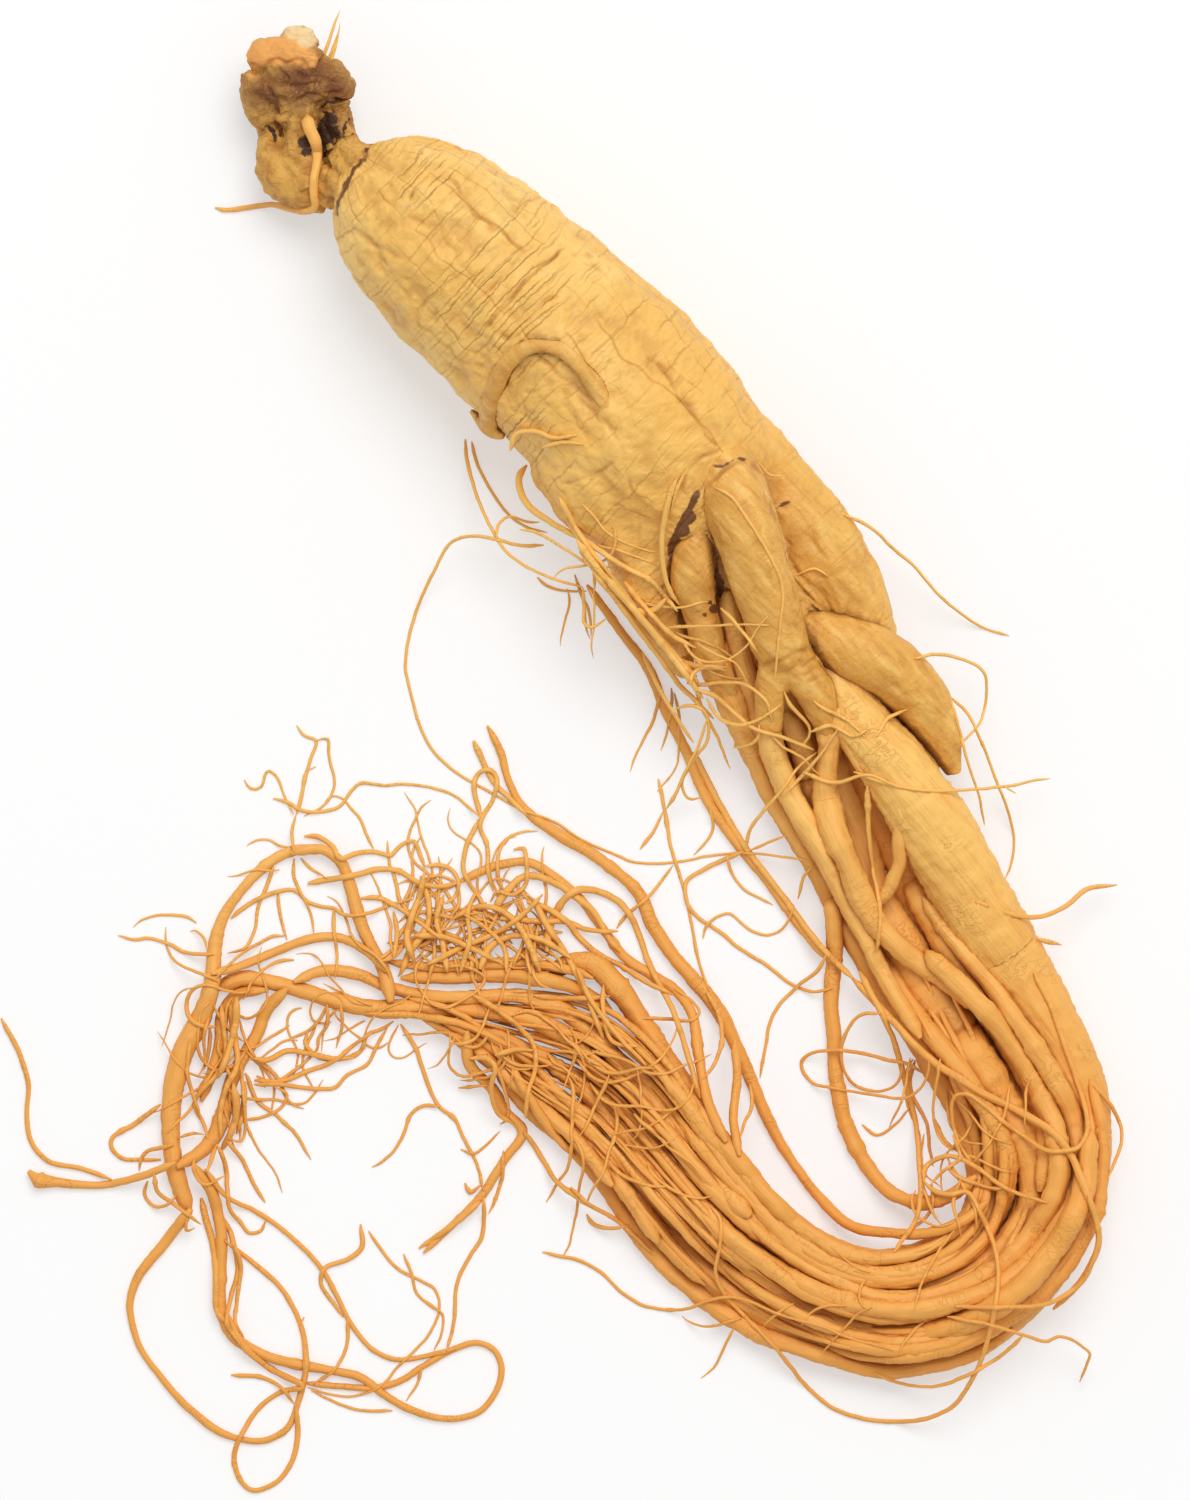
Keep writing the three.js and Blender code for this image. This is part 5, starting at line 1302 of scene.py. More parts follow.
# Fine rootlets that lie over everything: half-thickness, then x and y of each point in turn.
rootlets = {
    "rightBend": [
        (0.45, [45, -33, 50, -43, 52, -50, 53.5, -56, 54, -62, 54.1, -66, 53.5, -70, 51.5, -73, 50, -75]),
        (0.28, [48.3, -39.2, 45, -39.5, 43, -42, 42.2, -45, 43, -48.5, 45, -50.5, 48, -51, 50.5, -50,
                51.3, -48, 51.3, -46]),
        (0.28, [54.5, -48.3, 52.5, -47, 49, -46.2, 45, -45.2, 41, -44.8, 38, -45.2, 36.3, -46.5,
                36.8, -48.5, 38, -49.8, 41, -50.5, 44, -51, 48, -51.7, 52, -51.9, 54, -50.5, 55.3, -48,
                55.3, -46]),
        (0.38, [71, -33, 73.5, -38, 75.3, -43, 77, -48, 78.7, -53, 79, -57, 77.5, -59.3, 75, -59.8,
                72.5, -59.5, 69.5, -57.5, 66, -55, 63, -52.5, 61, -51.2, 59.3, -51.5, 58.7, -53, 59, -56,
                60, -59, 62, -62]),
        (0.3, [80, -50, 82.7, -53, 84.4, -57.5, 83.2, -61.5, 82, -64]),
        (0.4, [54.6, -64.5, 54.8, -62.5, 58, -60.6, 62, -62, 67, -65.5, 73, -67.6]),
        (0.38, [54.6, -64.5, 56.5, -66, 59, -66.3, 61, -66, 63, -69, 64.8, -73, 65.6, -76.5, 65.3, -82,
                64, -88.5, 62.2, -93.4, 59.1, -98.1, 54.8, -100.2, 50.3, -100.7, 46, -100.3, 41, -98.6,
                36.4, -94.6, 32, -89, 28, -85, 24.8, -81.5, 23.3, -78, 24, -74, 24, -70, 22.5, -68]),
        (0.3, [59, -57.5, 60, -61, 57.6, -62.8, 55.6, -65]),
        (0.42, [79, -66.3, 80.2, -70, 80.7, -72.5, 79.8, -76.4, 78.1, -79.6, 73.2, -82.6, 65.3, -83.1,
                59.1, -83.1]),
        (0.28, [58, -84.6, 64, -85.7, 68.8, -87.1, 73.2, -88.4, 74.8, -87.7, 76.8, -88.2, 78.5, -89.3,
                79.6, -90.3, 79, -92.4, 78.1, -94.7]),
        (0.3, [69.4, -87.4, 66.6, -90.2, 61.6, -93.2, 56.5, -95.2, 51, -94.8, 47, -93.2]),
        (0.28, [-2.7, -75.2, 0, -75.8, 3, -76.5, 6.5, -78.5, 9, -81, 12, -83, 15.5, -83.8, 19, -83.7,
                22, -82.5, 25, -81.8, 28, -82.3, 31, -83.5, 34, -84.7, 38, -85.7, 44, -88, 50, -89.6]),
        (0.25, [45.4, -56, 47.6, -57.6, 50.4, -56, 52.6, -53.4]),
        (0.22, [52.6, -46, 51.4, -52, 49.4, -56.4]),
        (0.25, [57, -46, 56.4, -50, 56, -54, 57, -58, 59, -60]),
    ],
    "rightSide": [
        (0.26, [42.5, 35.5, 46, 34, 50, 30.5, 53, 28, 57, 23.5, 60, 21, 63, 19, 67.5, 17.5]),
        (0.26, [53, 14, 56, 14.6, 60, 14, 63.5, 12, 64, 9, 63, 4.5, 60, 1]),
        (0.24, [58.7, 8.2, 61, 6, 63, 2, 65, -3, 67, -8, 68.3, -13, 67.8, -17, 67, -19]),
        (0.24, [58.5, 8, 59.7, 4, 61, -1, 63, -7, 63.8, -11]),
        (0.26, [44, -3, 50, -5, 56, -5.8, 63, -5.5, 68, -5, 71, -4.3, 73.5, -4]),
        (0.24, [66.6, -5.1, 68.4, -6.2]),
        (0.4, [71.5, -28, 75.3, -29]),
        (0.4, [46, -5, 46.3, -12, 47, -18, 48, -24, 47.5, -30]),
        (0.6, [20, 0, 23, -6, 27, -13, 33, -21, 39, -29, 44, -34]),
        (0.3, [47.4, 2.4, 49, 5, 52, 6.4]),
        (0.24, [23.2, 39.4, 25.6, 38, 28.4, 34, 31.4, 29, 33.2, 24.6, 33, 20, 32.4, 14.6, 32.2, 11]),
        (0.24, [29.4, 43.4, 31.4, 41.4, 33.8, 41.2]),
        (0.24, [35.4, 26.4, 38, 27.4, 40.2, 26.2]),
        (0.3, [37.4, 3, 40.4, 4, 44, 2.4, 46.4, 3.6]),
        (0.28, [34, -6, 38, -1.6, 41.6, 3.4]),
        (0.3, [36.4, -3, 41, -4.6, 46, -3.4, 50, -5]),
    ],
    "leftOfBody": [
        (0.28, [-14.2, 47, -14, 44, -13, 40, -11.5, 36, -10, 33, -8, 30, -5.5, 28, -2, 26.3, 1, 25.3,
                3.5, 24.6]),
        (0.26, [-13.3, 46.7, -12.5, 43.5, -10.5, 39.5, -8, 36, -5, 33.8, -2, 33]),
        (0.5, [-5, 43, -6.2, 41, -5.5, 38, -3.5, 35.8, -1.5, 34.5, 1, 33, 4, 31.5, 6, 30, 10, 27.5,
               14, 25.3, 16, 23, 17.5, 21]),
        (0.26, [-2.5, 31, -6, 31, -9, 31.7, -13, 32.4, -16.3, 31.5, -19, 27, -22, 20, -23.3, 13, -22.5, 9,
                -20.7, 3, -18.5, -0.5, -15, -3.5, -11, -5.8, -6, -8.5, -1, -10.5, 3, -13, 8, -15.3,
                12, -16.7, 17, -16.6, 22, -15.7, 28, -15.2, 37, -16.2]),
        (0.25, [-9.5, 32, -9.3, 34, -7.5, 35.3, -5, 34.5, -3, 34.5]),
        (0.25, [-6, 33.3, -4, 33, -1, 31.5, 2, 29.5, 4.5, 28, 8, 27.5]),
        (0.25, [-3.5, 26.3, -2, 25, 1, 24.2, 4, 24.2]),
        (0.28, [3.5, 24.5, 3.6, 22, 3.8, 19, 5, 18.7, 7, 20]),
        (0.5, [1, 35, 5, 29, 9, 23, 12, 19, 16, 15, 20, 13, 25, 12.6]),
        (0.45, [3, 30, 7, 25, 11, 20.5, 14, 17, 17, 14.5, 20, 12]),
        (0.45, [5, 27, 9, 22, 12, 18, 15, 14, 18, 10, 21, 7, 23, 5]),
        (0.4, [0, 38, 3, 32.5, 7.4, 26.6, 11.4, 21.6, 15.4, 17, 19, 12.6]),
        (0.6, [11, 21.3, 13.5, 21, 16, 23]),
        (0.5, [2.6, 31.6, 6, 27, 10, 22.4, 14, 18, 18, 13.6, 21, 10]),
        (0.55, [7, 26, 11, 21.4, 15, 16.6, 18.6, 12, 21.4, 8]),
        (0.45, [9.6, 25.4, 13.6, 20.6, 17, 17.4, 20.4, 15.6]),
        (0.48, [17.4, 40.8, 16.3, 38, 15.6, 34.4, 15.2, 30.8, 15.6, 26.8, 16.6, 23.8, 17.8, 22]),
        (0.3, [18.6, 41.6, 17.4, 39, 16.6, 36]),
        (0.35, [19.5, 10, 20, 11.8, 22, 12.8, 25, 12.2]),
        (0.35, [20.5, 9.3, 23, 8.5, 26, 6, 29, 3.5, 33, 2.3, 38, 0.3]),
        (0.3, [22, 8, 24, 5, 27, 4, 30, 5, 33, 7]),
        (0.3, [24, 21.5, 26, 19.5, 28, 17, 29.5, 15]),
        (0.28, [17.3, 6.5, 19.5, 7, 21.5, 6.3, 22.3, 4, 22, 1.5, 20.5, -0.5, 19.3, -2.5, 18.3, -4.5,
                19.3, -7, 21.5, -6.8]),
        (0.4, [-7.4, 45, -6.6, 47.4, -3.4, 47.8, -1, 46.8, 2.6, 47.2]),
        (0.3, [-2.6, 45.4, 0.6, 46.2, 3.6, 45.8]),
        (0.35, [12.4, 15, 15, 9.4, 17.6, 5, 20, 1.4]),
    ],
    "insideBend": [
        (0.5, [-13, 1.7, -11.5, -1.5, -10, -4.5, -7.5, -7, -5, -9.5]),
        (0.3, [14.8, -4, 15.4, -7, 16, -10, 16.6, -14, 18, -18.5, 19, -22, 20, -27, 21, -32, 22.5, -36]),
        (0.28, [16, -8.5, 17.5, -6, 18.5, -3.5, 19.8, -1, 21, 1.5, 22, 5]),
        (0.28, [8.5, -26.5, 10, -24.5, 13, -22, 15.5, -19, 17, -17]),
        (0.35, [27.5, -15, 25, -16, 22, -17.5, 19, -19.5, 19.2, -23, 21, -25, 24, -27, 27, -29.5, 31, -32,
                35, -35, 38, -36, 41, -35.5]),
        (0.25, [21.5, -28, 21.8, -26.5, 23.5, -24.8, 25.5, -24.3, 27, -25.5, 29, -27, 31.5, -27.5,
                33.5, -26.5, 34.5, -24.8, 35.2, -23]),
        (0.28, [28, -14.5, 28.3, -12, 30, -9.5, 33, -6, 36, -2, 38.5, 0]),
        (0.25, [28.5, -14.8, 31, -13.7, 34, -12.5]),
        (0.25, [25, -15.5, 25.8, -18, 27.5, -20.5, 30, -22, 32, -23]),
        (0.25, [35.8, -22, 36.5, -19, 38, -17]),
        (0.3, [40, -30.5, 38.5, -33, 36, -35, 33, -38, 31.5, -41, 30.8, -45, 30, -49]),
        (0.25, [22.5, -8, 23, -11.5, 22, -13.5, 20, -15.5]),
        (0.35, [22, -36, 24, -40, 24.2, -44, 23, -47, 21.5, -49]),
        (0.3, [28.5, -50, 28.8, -53, 27.5, -56, 27, -58]),
        (0.28, [12.5, -40, 16, -40.1, 20, -40.2, 21, -39, 20, -37.5, 17, -35.5]),
        (0.3, [12, -14.6, 14, -12, 15.4, -9]),
    ],
    "tangle": [
        (0.6, [-10, -24, -8.5, -21.5, -6, -19, -4, -18.6, -1, -19.5, 2, -21.5, 5, -24, 7, -27.5, 9, -30]),
        (0.55, [-2, -30, -1.5, -26, 0, -23, 2, -21, 4.5, -20.7, 8, -22, 10.5, -24.5, 12, -28, 13.5, -32,
                15, -35, 17, -39, 19, -45, 21, -52]),
        (0.5, [-9, -25, -5, -25.3, -2, -25.5, 1, -25.5, 4, -26.7, 8.7, -27]),
        (0.5, [-5, -22.5, -2, -23.5, 1, -25.5, 3, -28, 6, -30.5, 9, -32, 12, -34, 17, -36.5]),
        (0.4, [-12, -10, -14, -14, -14.5, -17.5, -13.5, -20, -12, -22, -11, -25]),
        (0.4, [-11.8, -10, -13, -5, -12, -3, -10.5, -2.7, -9.5, -4, -10, -7, -12, -11, -11, -14,
               -10.8, -18, -10, -21]),
        (0.35, [-7, -14.7, -5.5, -14.5, -5, -17, -5.2, -20, -7, -21.5, -9.5, -21, -10.5, -22.5]),
        (0.5, [-4, -22, -2, -26, 1, -30.5, 3, -34.5, 5, -39, 6.5, -43]),
        (0.55, [-24, -33.4, -22.6, -30, -20, -26.4, -19.8, -22.4, -21, -18.6]),
        (0.5, [-17, -33, -17.6, -29, -18.6, -25, -17.4, -21.4]),
        (0.55, [-12, -32.6, -10.6, -29.4, -8.4, -28, -5.6, -27.6, -2, -28.6, 1.6, -31]),
        (0.5, [-3, -33, -4.6, -29, -6.6, -25.6, -9.4, -23.6, -13, -23.4, -16.6, -25.4]),
        (0.45, [-20, -32, -15, -29.4, -10, -27.4, -5.6, -24.4, -2.6, -21.4]),
        (0.45, [-22, -27.6, -17.4, -27.8, -13, -29.6, -9, -31.6]),
        (0.4, [-15, -33, -13.6, -28.4, -13.8, -24, -12.4, -20.4]),
        (0.4, [-8, -33, -8.4, -29.6, -11, -26.6, -14.4, -24.4]),
        (0.45, [-4, -36.5, 0, -37, 4, -37, 7.5, -36.7]),
        (0.4, [6.5, -35, 6.5, -39, 8, -43.5, 12, -44.2]),
        (0.4, [2.5, -32.5, 4.5, -37, 7, -40.5, 10, -44, 13, -47]),
    ],
    "leftArch": [
        (0.3, [-39.7, -9.5, -39, -7, -38.4, -4, -37.5, -1, -36.7, 1.7, -38.5, 2.5, -39.6, 4]),
        (0.25, [-36.7, 1.7, -35, 2, -34.7, -1, -33.9, -5, -35.5, -8, -38.5, -9.7]),
        (0.25, [-38, -2.8, -36.7, -2.2]),
        (0.3, [-40, -15, -40.3, -12, -39.7, -9.5]),
        (0.25, [-47.5, -4.2, -46.5, -5.5, -45, -5.3, -44, -2.8, -42.8, -3.5, -41.5, -6.5, -40, -9.5]),
        (0.3, [-43.2, -7, -41, -7.5, -39, -8.7, -36, -9, -33, -8, -31.5, -6, -30, -4.7, -27, -5,
               -24, -4.8, -20, -5.2, -16, -6.5, -12, -9.8]),
        (0.4, [-38.5, -12.6, -36.5, -12.7, -34, -14.3, -33.2, -16, -30.5, -15.2, -27.5, -15, -25.5, -15.6,
               -24, -14, -22, -13.4, -21, -15.5, -20.3, -17.3]),
        (0.5, [-38, -19.8, -35, -19.2, -31, -18.5, -27, -17.6, -24, -18, -21, -19.8, -18, -20.2,
               -15, -19.6]),
        (0.35, [-20.3, -17.2, -18, -17, -16, -18, -15.2, -20, -16, -22, -18, -23]),
        (0.3, [-43, -17, -44, -20, -45.3, -23, -46, -27, -47.5, -29.5, -50, -30.3]),
        (0.28, [-42.5, -21, -42, -25, -41, -28.2]),
        (0.35, [-49.5, -25, -47, -23, -43.5, -21.3, -40, -20.8, -38, -22.5, -36, -23.2, -34, -23.5,
                -32.5, -24.5, -29, -24.3, -25.5, -23, -22, -22]),
        (0.28, [-40, -16, -40, -19, -38.5, -22, -37.3, -25, -37, -27.3]),
        (0.28, [-39, -16, -37.5, -17.5, -35, -19]),
        (0.3, [-34, -23.5, -34, -27, -33.5, -31, -33.8, -34]),
        (0.4, [-30, -22, -27, -22, -25, -23, -22, -25, -20, -26.5, -18, -28]),
        (0.4, [-25, -24, -24.5, -27, -25, -31]),
        (0.55, [-22, -31.5, -23, -28, -22, -24, -21, -21, -20.3, -18]),
        (0.3, [-52, -30.4, -56, -30.2, -59, -28.8, -62, -28, -64, -28.2, -66.5, -27.6]),
        (0.25, [-53, -30, -53.5, -28, -55, -26.8, -55.6, -27]),
    ],
    "underTail": [
        (0.3, [-35, -38, -36, -40, -38, -42, -40.8, -43.2]),
        (0.3, [-33, -38, -32.7, -41, -33.7, -44.5]),
        (0.3, [-35, -38, -35, -41, -36.3, -43, -36.5, -45]),
        (0.35, [-38, -42, -38.3, -44, -36, -46, -32, -46, -30, -45, -29, -42.5, -27, -41.8, -25, -40.5]),
        (0.5, [-46, -46, -44, -46.3, -41, -45, -38, -45.3, -35, -46, -31, -46]),
        (0.4, [-46, -49.3, -42, -49.5, -38, -48, -34, -46.5, -31, -44, -28, -42]),
        (0.35, [-46, -50, -42, -50, -38, -50.5, -34, -50.5, -32, -48.5, -29, -47, -27.5, -44, -26, -41.5]),
        (0.3, [-47.5, -55.3, -45, -55, -42, -53.5, -41, -51.5, -43, -50.3]),
        (0.35, [-24, -41, -22, -44, -20.5, -48, -19.3, -51.5, -18, -53.5, -16, -55, -14.5, -58,
                -12.5, -62, -11.5, -66]),
        (0.3, [-18, -53.3, -20.5, -53.2, -22.5, -54.5, -23.3, -57, -25, -60, -27, -61.8, -28.3, -62.4]),
        (0.4, [-14.3, -64.8, -13.5, -66.2, -11.8, -65]),
        (0.5, [-12, -67.5, -16, -71, -21.2, -74.6]),
        (0.35, [-11.5, -67, -11.4, -70, -11.8, -73, -13.5, -75.7, -15.5, -80, -16, -86, -17, -90]),
        (0.3, [-8.5, -60, -8.7, -64, -10, -68, -10.7, -69.5]),
        (0.25, [-15.3, -50.5, -12, -50.2, -10, -50]),
        (0.25, [-15, -59.7, -13, -60.4, -11, -59, -9, -57]),
        (0.4, [-5.5, -57, -3, -60.5, -1, -64, 1, -65.8, 4, -67.8, 8, -70, 11, -72.5, 14, -75.5]),
        (0.35, [1.6, -65.4, 5, -68.5]),
        (0.35, [4, -69.5, 5, -71, 8, -71.6, 10, -71.2]),
        (0.45, [-13, -36.5, -9, -39, -6, -41.5, -4, -44, -3.8, -48, -4.8, -51, -5.2, -55]),
        (0.45, [-9.7, -45.5, -7, -44.7, -4, -44.8]),
        (0.45, [-13.5, -46, -11, -46, -9.7, -47.5, -10.3, -50, -9.5, -54, -7, -56]),
    ],
    "farLeft": [
        (0.4, [-60, -53, -64, -56, -67.3, -58, -67.4, -59.5, -66, -61, -64, -61.3, -60, -61.3]),
        (0.4, [-51, -38, -50.5, -42, -50.3, -46, -52, -49, -54, -51, -55, -53, -53.5, -56, -53, -58]),
        (0.5, [-49.5, -38, -49, -42, -48.5, -47, -50, -50, -51, -54, -51, -58]),
        (0.3, [-52.8, -40, -53.5, -43, -53.3, -47]),
        (0.6, [-48.6, -37, -48.8, -41, -50, -45.5, -51.4, -49]),
        (0.6, [-49, -50, -48.6, -53.6, -49.4, -57, -51, -60]),
        (0.5, [-47.4, -49.6, -47.6, -53.6, -48.6, -57.4]),
        (0.35, [-55.5, -43, -56, -48, -55, -52, -54, -55]),
        (0.3, [-48, -47, -47.5, -52, -47.3, -56, -48, -58.5, -50, -58]),
        (0.35, [-50, -58.5, -48, -61, -46, -65, -44.3, -67.8]),
        (0.4, [-51.5, -59, -52.3, -61, -53, -63]),
        (0.35, [-51.5, -59, -50.3, -62, -50, -66, -49.5, -69, -48, -70.8, -47, -72.2, -45, -72,
                -44.2, -70.3]),
        (0.3, [-55, -61, -55, -63, -53.5, -65, -50.5, -63.8]),
        (0.35, [-58, -59, -60, -59.5, -62, -60, -63, -61, -63.3, -63]),
        (0.35, [-61, -63, -60.5, -66, -58, -68, -56, -69.5, -54, -71]),
        (0.3, [-62, -64.5, -62.5, -66.5, -61, -68.3, -59, -68, -57.5, -66.5]),
        (0.3, [-57.5, -58, -55, -57.3, -53.5, -57.5]),
        (0.55, [-54, -67, -53, -71, -52, -75, -51.7, -80, -51.6, -84, -50, -86]),
        (0.4, [-50.5, -70, -49, -74, -48.5, -78, -49.5, -82, -50, -86, -48, -89]),
        (0.35, [-49, -74, -48, -77, -48.5, -82, -48.8, -86, -47.5, -88]),
        (0.3, [-56, -70, -56.2, -72, -55, -71.5]),
    ],
    "lowerLeft": [
        (0.4, [-30, -71, -29.8, -74.5, -32, -76.3, -35.5, -77.7, -35.9, -80, -34, -83, -32.5, -85]),
        (0.3, [-32, -85, -32, -89, -34, -93, -37, -95]),
        (0.25, [-28.8, -72, -26, -76, -24, -78, -21, -79.5, -18.7, -81, -18.2, -84, -20, -88, -24, -92,
                -27, -95.3, -31, -96.9, -35, -96.5, -38, -95.6]),
        (0.25, [-23.5, -75.5, -22.3, -78.5, -21.5, -81.5, -19, -83.5, -17.7, -84.5, -17.8, -87.5,
                -19, -90]),
        (0.25, [-20.8, -92.5, -21.5, -95, -23.2, -97.6]),
        (0.25, [-25.2, -99, -30, -99, -34, -97.7, -37.5, -96]),
        (0.35, [-49.5, -93.7, -47, -93.8, -45, -94, -42, -95.5, -40, -98]),
        (0.3, [-38.5, -85, -39, -86]),
    ],
}

rootletTaper = (1.1, 0.75)  # share of a rootlet's half-thickness at its start and end

# The neck's rootlet, as x, y, radius and, where it stands free, height.
neckRootlet = [
    (-37.9, 95.3, 0.95, 12), (-37.6, 93.6, 1, 13), (-36.6, 91.2, 0.9, 13), (-36.3, 88.6, 0.75),
    (-36.7, 86, 0.68), (-36.8, 83.4, 0.65), (-36.6, 81.9, 0.62), (-37.9, 81.1, 0.6), (-40.5, 81.5, 0.5),
    (-42.8, 82.2, 0.46), (-44.6, 82.2, 0.44), (-47.6, 81.8, 0.42), (-50.3, 81.5, 0.36), (-51.9, 81.9, 0.3)]

strandSizes = {
    "greatLeg": {"Sides": 72, "Spacing": 0.5, "Wobble": 0.4, "Wobble Size": 14.0, "Uneven": 0.07,
                 "Knots": 0.0, "Streak Depth": 0.09, "Ring Depth": 0.03},
    "legs": {"Sides": 22, "Spacing": 0.6, "Wobble": 0.45, "Wobble Size": 9.0, "Uneven": 0.18,
             "Knots": 0.16, "Streak Depth": 0.22, "Ring Depth": 0.06},
    "bundle": {"Sides": 12, "Spacing": 0.7, "Wobble": 0.45, "Wobble Size": 7.0, "Uneven": 0.22,
               "Knots": 0.2, "Streak Depth": 0.18, "Ring Depth": 0.05},
    "long": {"Sides": 12, "Spacing": 0.5, "Wobble": 0.25, "Wobble Size": 7.0, "Uneven": 0.15,
             "Knots": 0.18, "Streak Depth": 0.12, "Ring Depth": 0.06},
    "rootlets": {"Sides": 7, "Spacing": 0.4, "Wobble": 0.16, "Wobble Size": 2.6, "Uneven": 0.2,
                 "Knots": 0.35, "Streak Depth": 0.0, "Ring Depth": 0.0},
    "hairs": {"Sides": 6, "Spacing": 0.5, "Wobble": 0.2, "Wobble Size": 2.6, "Uneven": 0.2,
              "Knots": 0.4, "Streak Depth": 0.0, "Ring Depth": 0.0},
}

# Strands that fill the bend and the tail, side by side between its two edges.
bundle = {
    "seed": 14,
    "innerEdge": [
        (31, 8), (32.4, 0), (35, -7), (39.5, -15), (43.5, -23), (47, -30), (50.5, -36), (54.5, -42.5),
        (58, -49), (60.6, -56), (61.4, -63), (59.6, -69.5), (55, -73.4), (49, -75), (43, -74.2), (37, -71),
        (31.5, -66.5), (27, -61), (22.6, -55), (18.6, -49), (14.6, -43.5), (9, -38.6), (2, -35.6),
        (-6, -35), (-14, -35.2), (-22, -35.4)],
    "outerEdge": [
        (52, 4), (56, -2), (60, -9), (64, -16), (68, -23.5), (72, -31), (76.5, -38.5), (80, -46),
        (82, -54), (82.6, -62), (81, -70), (77.4, -77), (72, -83), (65, -87.8), (57, -91.2), (48.6, -92),
        (40, -90.4), (32, -87.4), (25, -83.2), (18.8, -77.6), (13, -71), (8, -64), (2.6, -58),
        (-3.6, -53), (-8.6, -48), (-15, -44)],
    "edgeStep": 1.0,
    "places": 160,  # marks along the bundle
    "every": 3,  # marks from one point of a strand to the next
    "latest": 0.98,  # share of the bundle's length by which strands end
    "jitter": (0.2, 0.8),  # where a strand lies within its own share of the width
    "sway": (0.02, 0.06),  # how quickly it drifts across
    "drift": 0.05,  # how far across a strand wanders, as a share of the width
    "rim": 0.05,  # strands keep this share of the width off both edges
    "endShare": 0.25,  # a strand's end has this share of its thickness
    "endGrowth": 0.08,  # and gains this share at every point
    # strands at the bottom: first and last point of the edges, share of the way across, radius
    "lowest": [(6, 19, 0.2, 2), (5, 17, 0.46, 2.3), (9, 20, 0.7, 2)],
    "below": {"count": 20, "low": 0.8, "high": 1.5, "shortest": 0.3, "longest": 0.65, "first": 0.2},
    "above": {"count": 12, "low": 0.4, "high": 0.8, "shortest": 0.2, "longest": 0.65, "first": 0.32},
    # thin strands at the tail's outer edge, as x, y and radius
    "outer": [
        [(14.8, -73.6, 1.1), (10.6, -67.2, 1.2), (6.8, -61.6, 1.2), (2.6, -56.8, 1.1), (-2.2, -53.4, 1),
         (-6.6, -49.8, 0.9), (-11.6, -46, 0.8), (-16.6, -42.8, 0.6)],
        [(8, -65, 1), (3.6, -59.6, 1.1), (-1, -55, 1.1), (-6, -50.4, 1), (-11, -46, 0.9), (-16, -42.4, 0.8),
         (-21, -40, 0.6)],
        [(18, -72, 0.9), (12.6, -65.6, 1), (7.6, -60, 1), (3, -55.6, 1), (-2, -51, 0.9), (-7, -47, 0.9),
         (-12, -43.4, 0.8), (-18, -40.4, 0.6)],
        [(2, -60.6, 0.6), (-1.6, -56.6, 0.7), (-5, -51.4, 0.7), (-8, -46, 0.6), (-12, -41.6, 0.6),
         (-17, -38.6, 0.5), (-23, -37, 0.4)],
        [(6, -56, 0.6), (1, -52.4, 0.7), (-3.6, -47.4, 0.7), (-9, -43.6, 0.6), (-15, -41, 0.6),
         (-22, -39.6, 0.5), (-29, -39.4, 0.4)]],
    "tail": {"count": 26, "low": 0.3, "high": 0.75, "shortest": 0.12, "longest": 0.36, "first": 0.6},
}


# Low strands behind the legs, as x, y, height and radius.
hiddenStrands = [
    [(21, 28, 7, 2), (23.6, 21.6, 6, 2.6), (26.4, 14.6, 5, 2.6), (29.4, 7.4, 4, 2.4), (32.4, 0, 3, 2.2),
     (35.4, -7, 2.4, 2), (38.6, -14, 2, 1.7)],
    [(30, 18, 8, 2.4), (32.4, 11.6, 6.6, 2.4), (35, 5, 5, 2.4), (38.2, -2, 3.6, 2.2), (41.4, -9, 2.6, 2),
     (44, -16, 2, 1.6)],
    [(41, 9, 6, 2), (43.6, 3, 4.6, 2.4), (46.2, -4, 3.2, 2.6), (48.6, -11, 2.6, 2.5), (51, -18, 2.4, 2.2),
     (53.6, -25, 2, 2.1), (57, -32, 2, 2.1), (61, -39, 2, 1.8)],
    [(39, 14, 8, 2.6), (44, 8.6, 7.4, 3), (49, 5, 6.4, 3), (53, 0.4, 5, 2.6), (56, -5, 4, 2)]]


def lowestRoutes():
    # strands at the bottom of the bundle
    edges = [np.array(bundle[edge]) for edge in ("innerEdge", "outerEdge")]
    for first, last, across, radius in bundle["lowest"]:
        inner, outer = [edge[first:last + 1] for edge in edges]
        line = inner * (1 - across) + outer * across
        yield [(x, y, radius) for x, y in line]


def bundleRoutes(kind, chance):
    # strands of random length between the edges, each keeping its own share of the way across
    count = bundle["places"]
    places = np.linspace(0, 1, count)
    edges = []
    for edge in ("innerEdge", "outerEdge"):
        line, _ = spline(bundle[edge], bundle["edgeStep"])
        edges.append(np.column_stack([np.interp(places, np.linspace(0, 1, len(line)), line[:, axis])
                                      for axis in (0, 1)]))
    routes = []
    for i in range(kind["count"]):
        length = chance.uniform(kind["shortest"], kind["longest"])
        start = chance.uniform(kind["first"], bundle["latest"] - length)
        rows = np.arange(int(start * count), int((start + length) * count), bundle["every"])
        share = (i + chance.uniform(*bundle["jitter"])) / kind["count"]
        drift = np.sin(rows * chance.uniform(*bundle["sway"]) + chance.uniform(0, 6)) * bundle["drift"]
        share = np.clip(share + drift, bundle["rim"], 1 - bundle["rim"])[:, None]
        line = edges[0][rows] * (1 - share) + edges[1][rows] * share
        thick = chance.uniform(kind["low"], kind["high"])
        fromEnd = np.minimum(np.arange(len(rows)), np.arange(len(rows))[::-1])
        ends = np.minimum(1, bundle["endShare"] + fromEnd * bundle["endGrowth"])
        routes.append(np.column_stack([line, thick * ends]))
    return routes


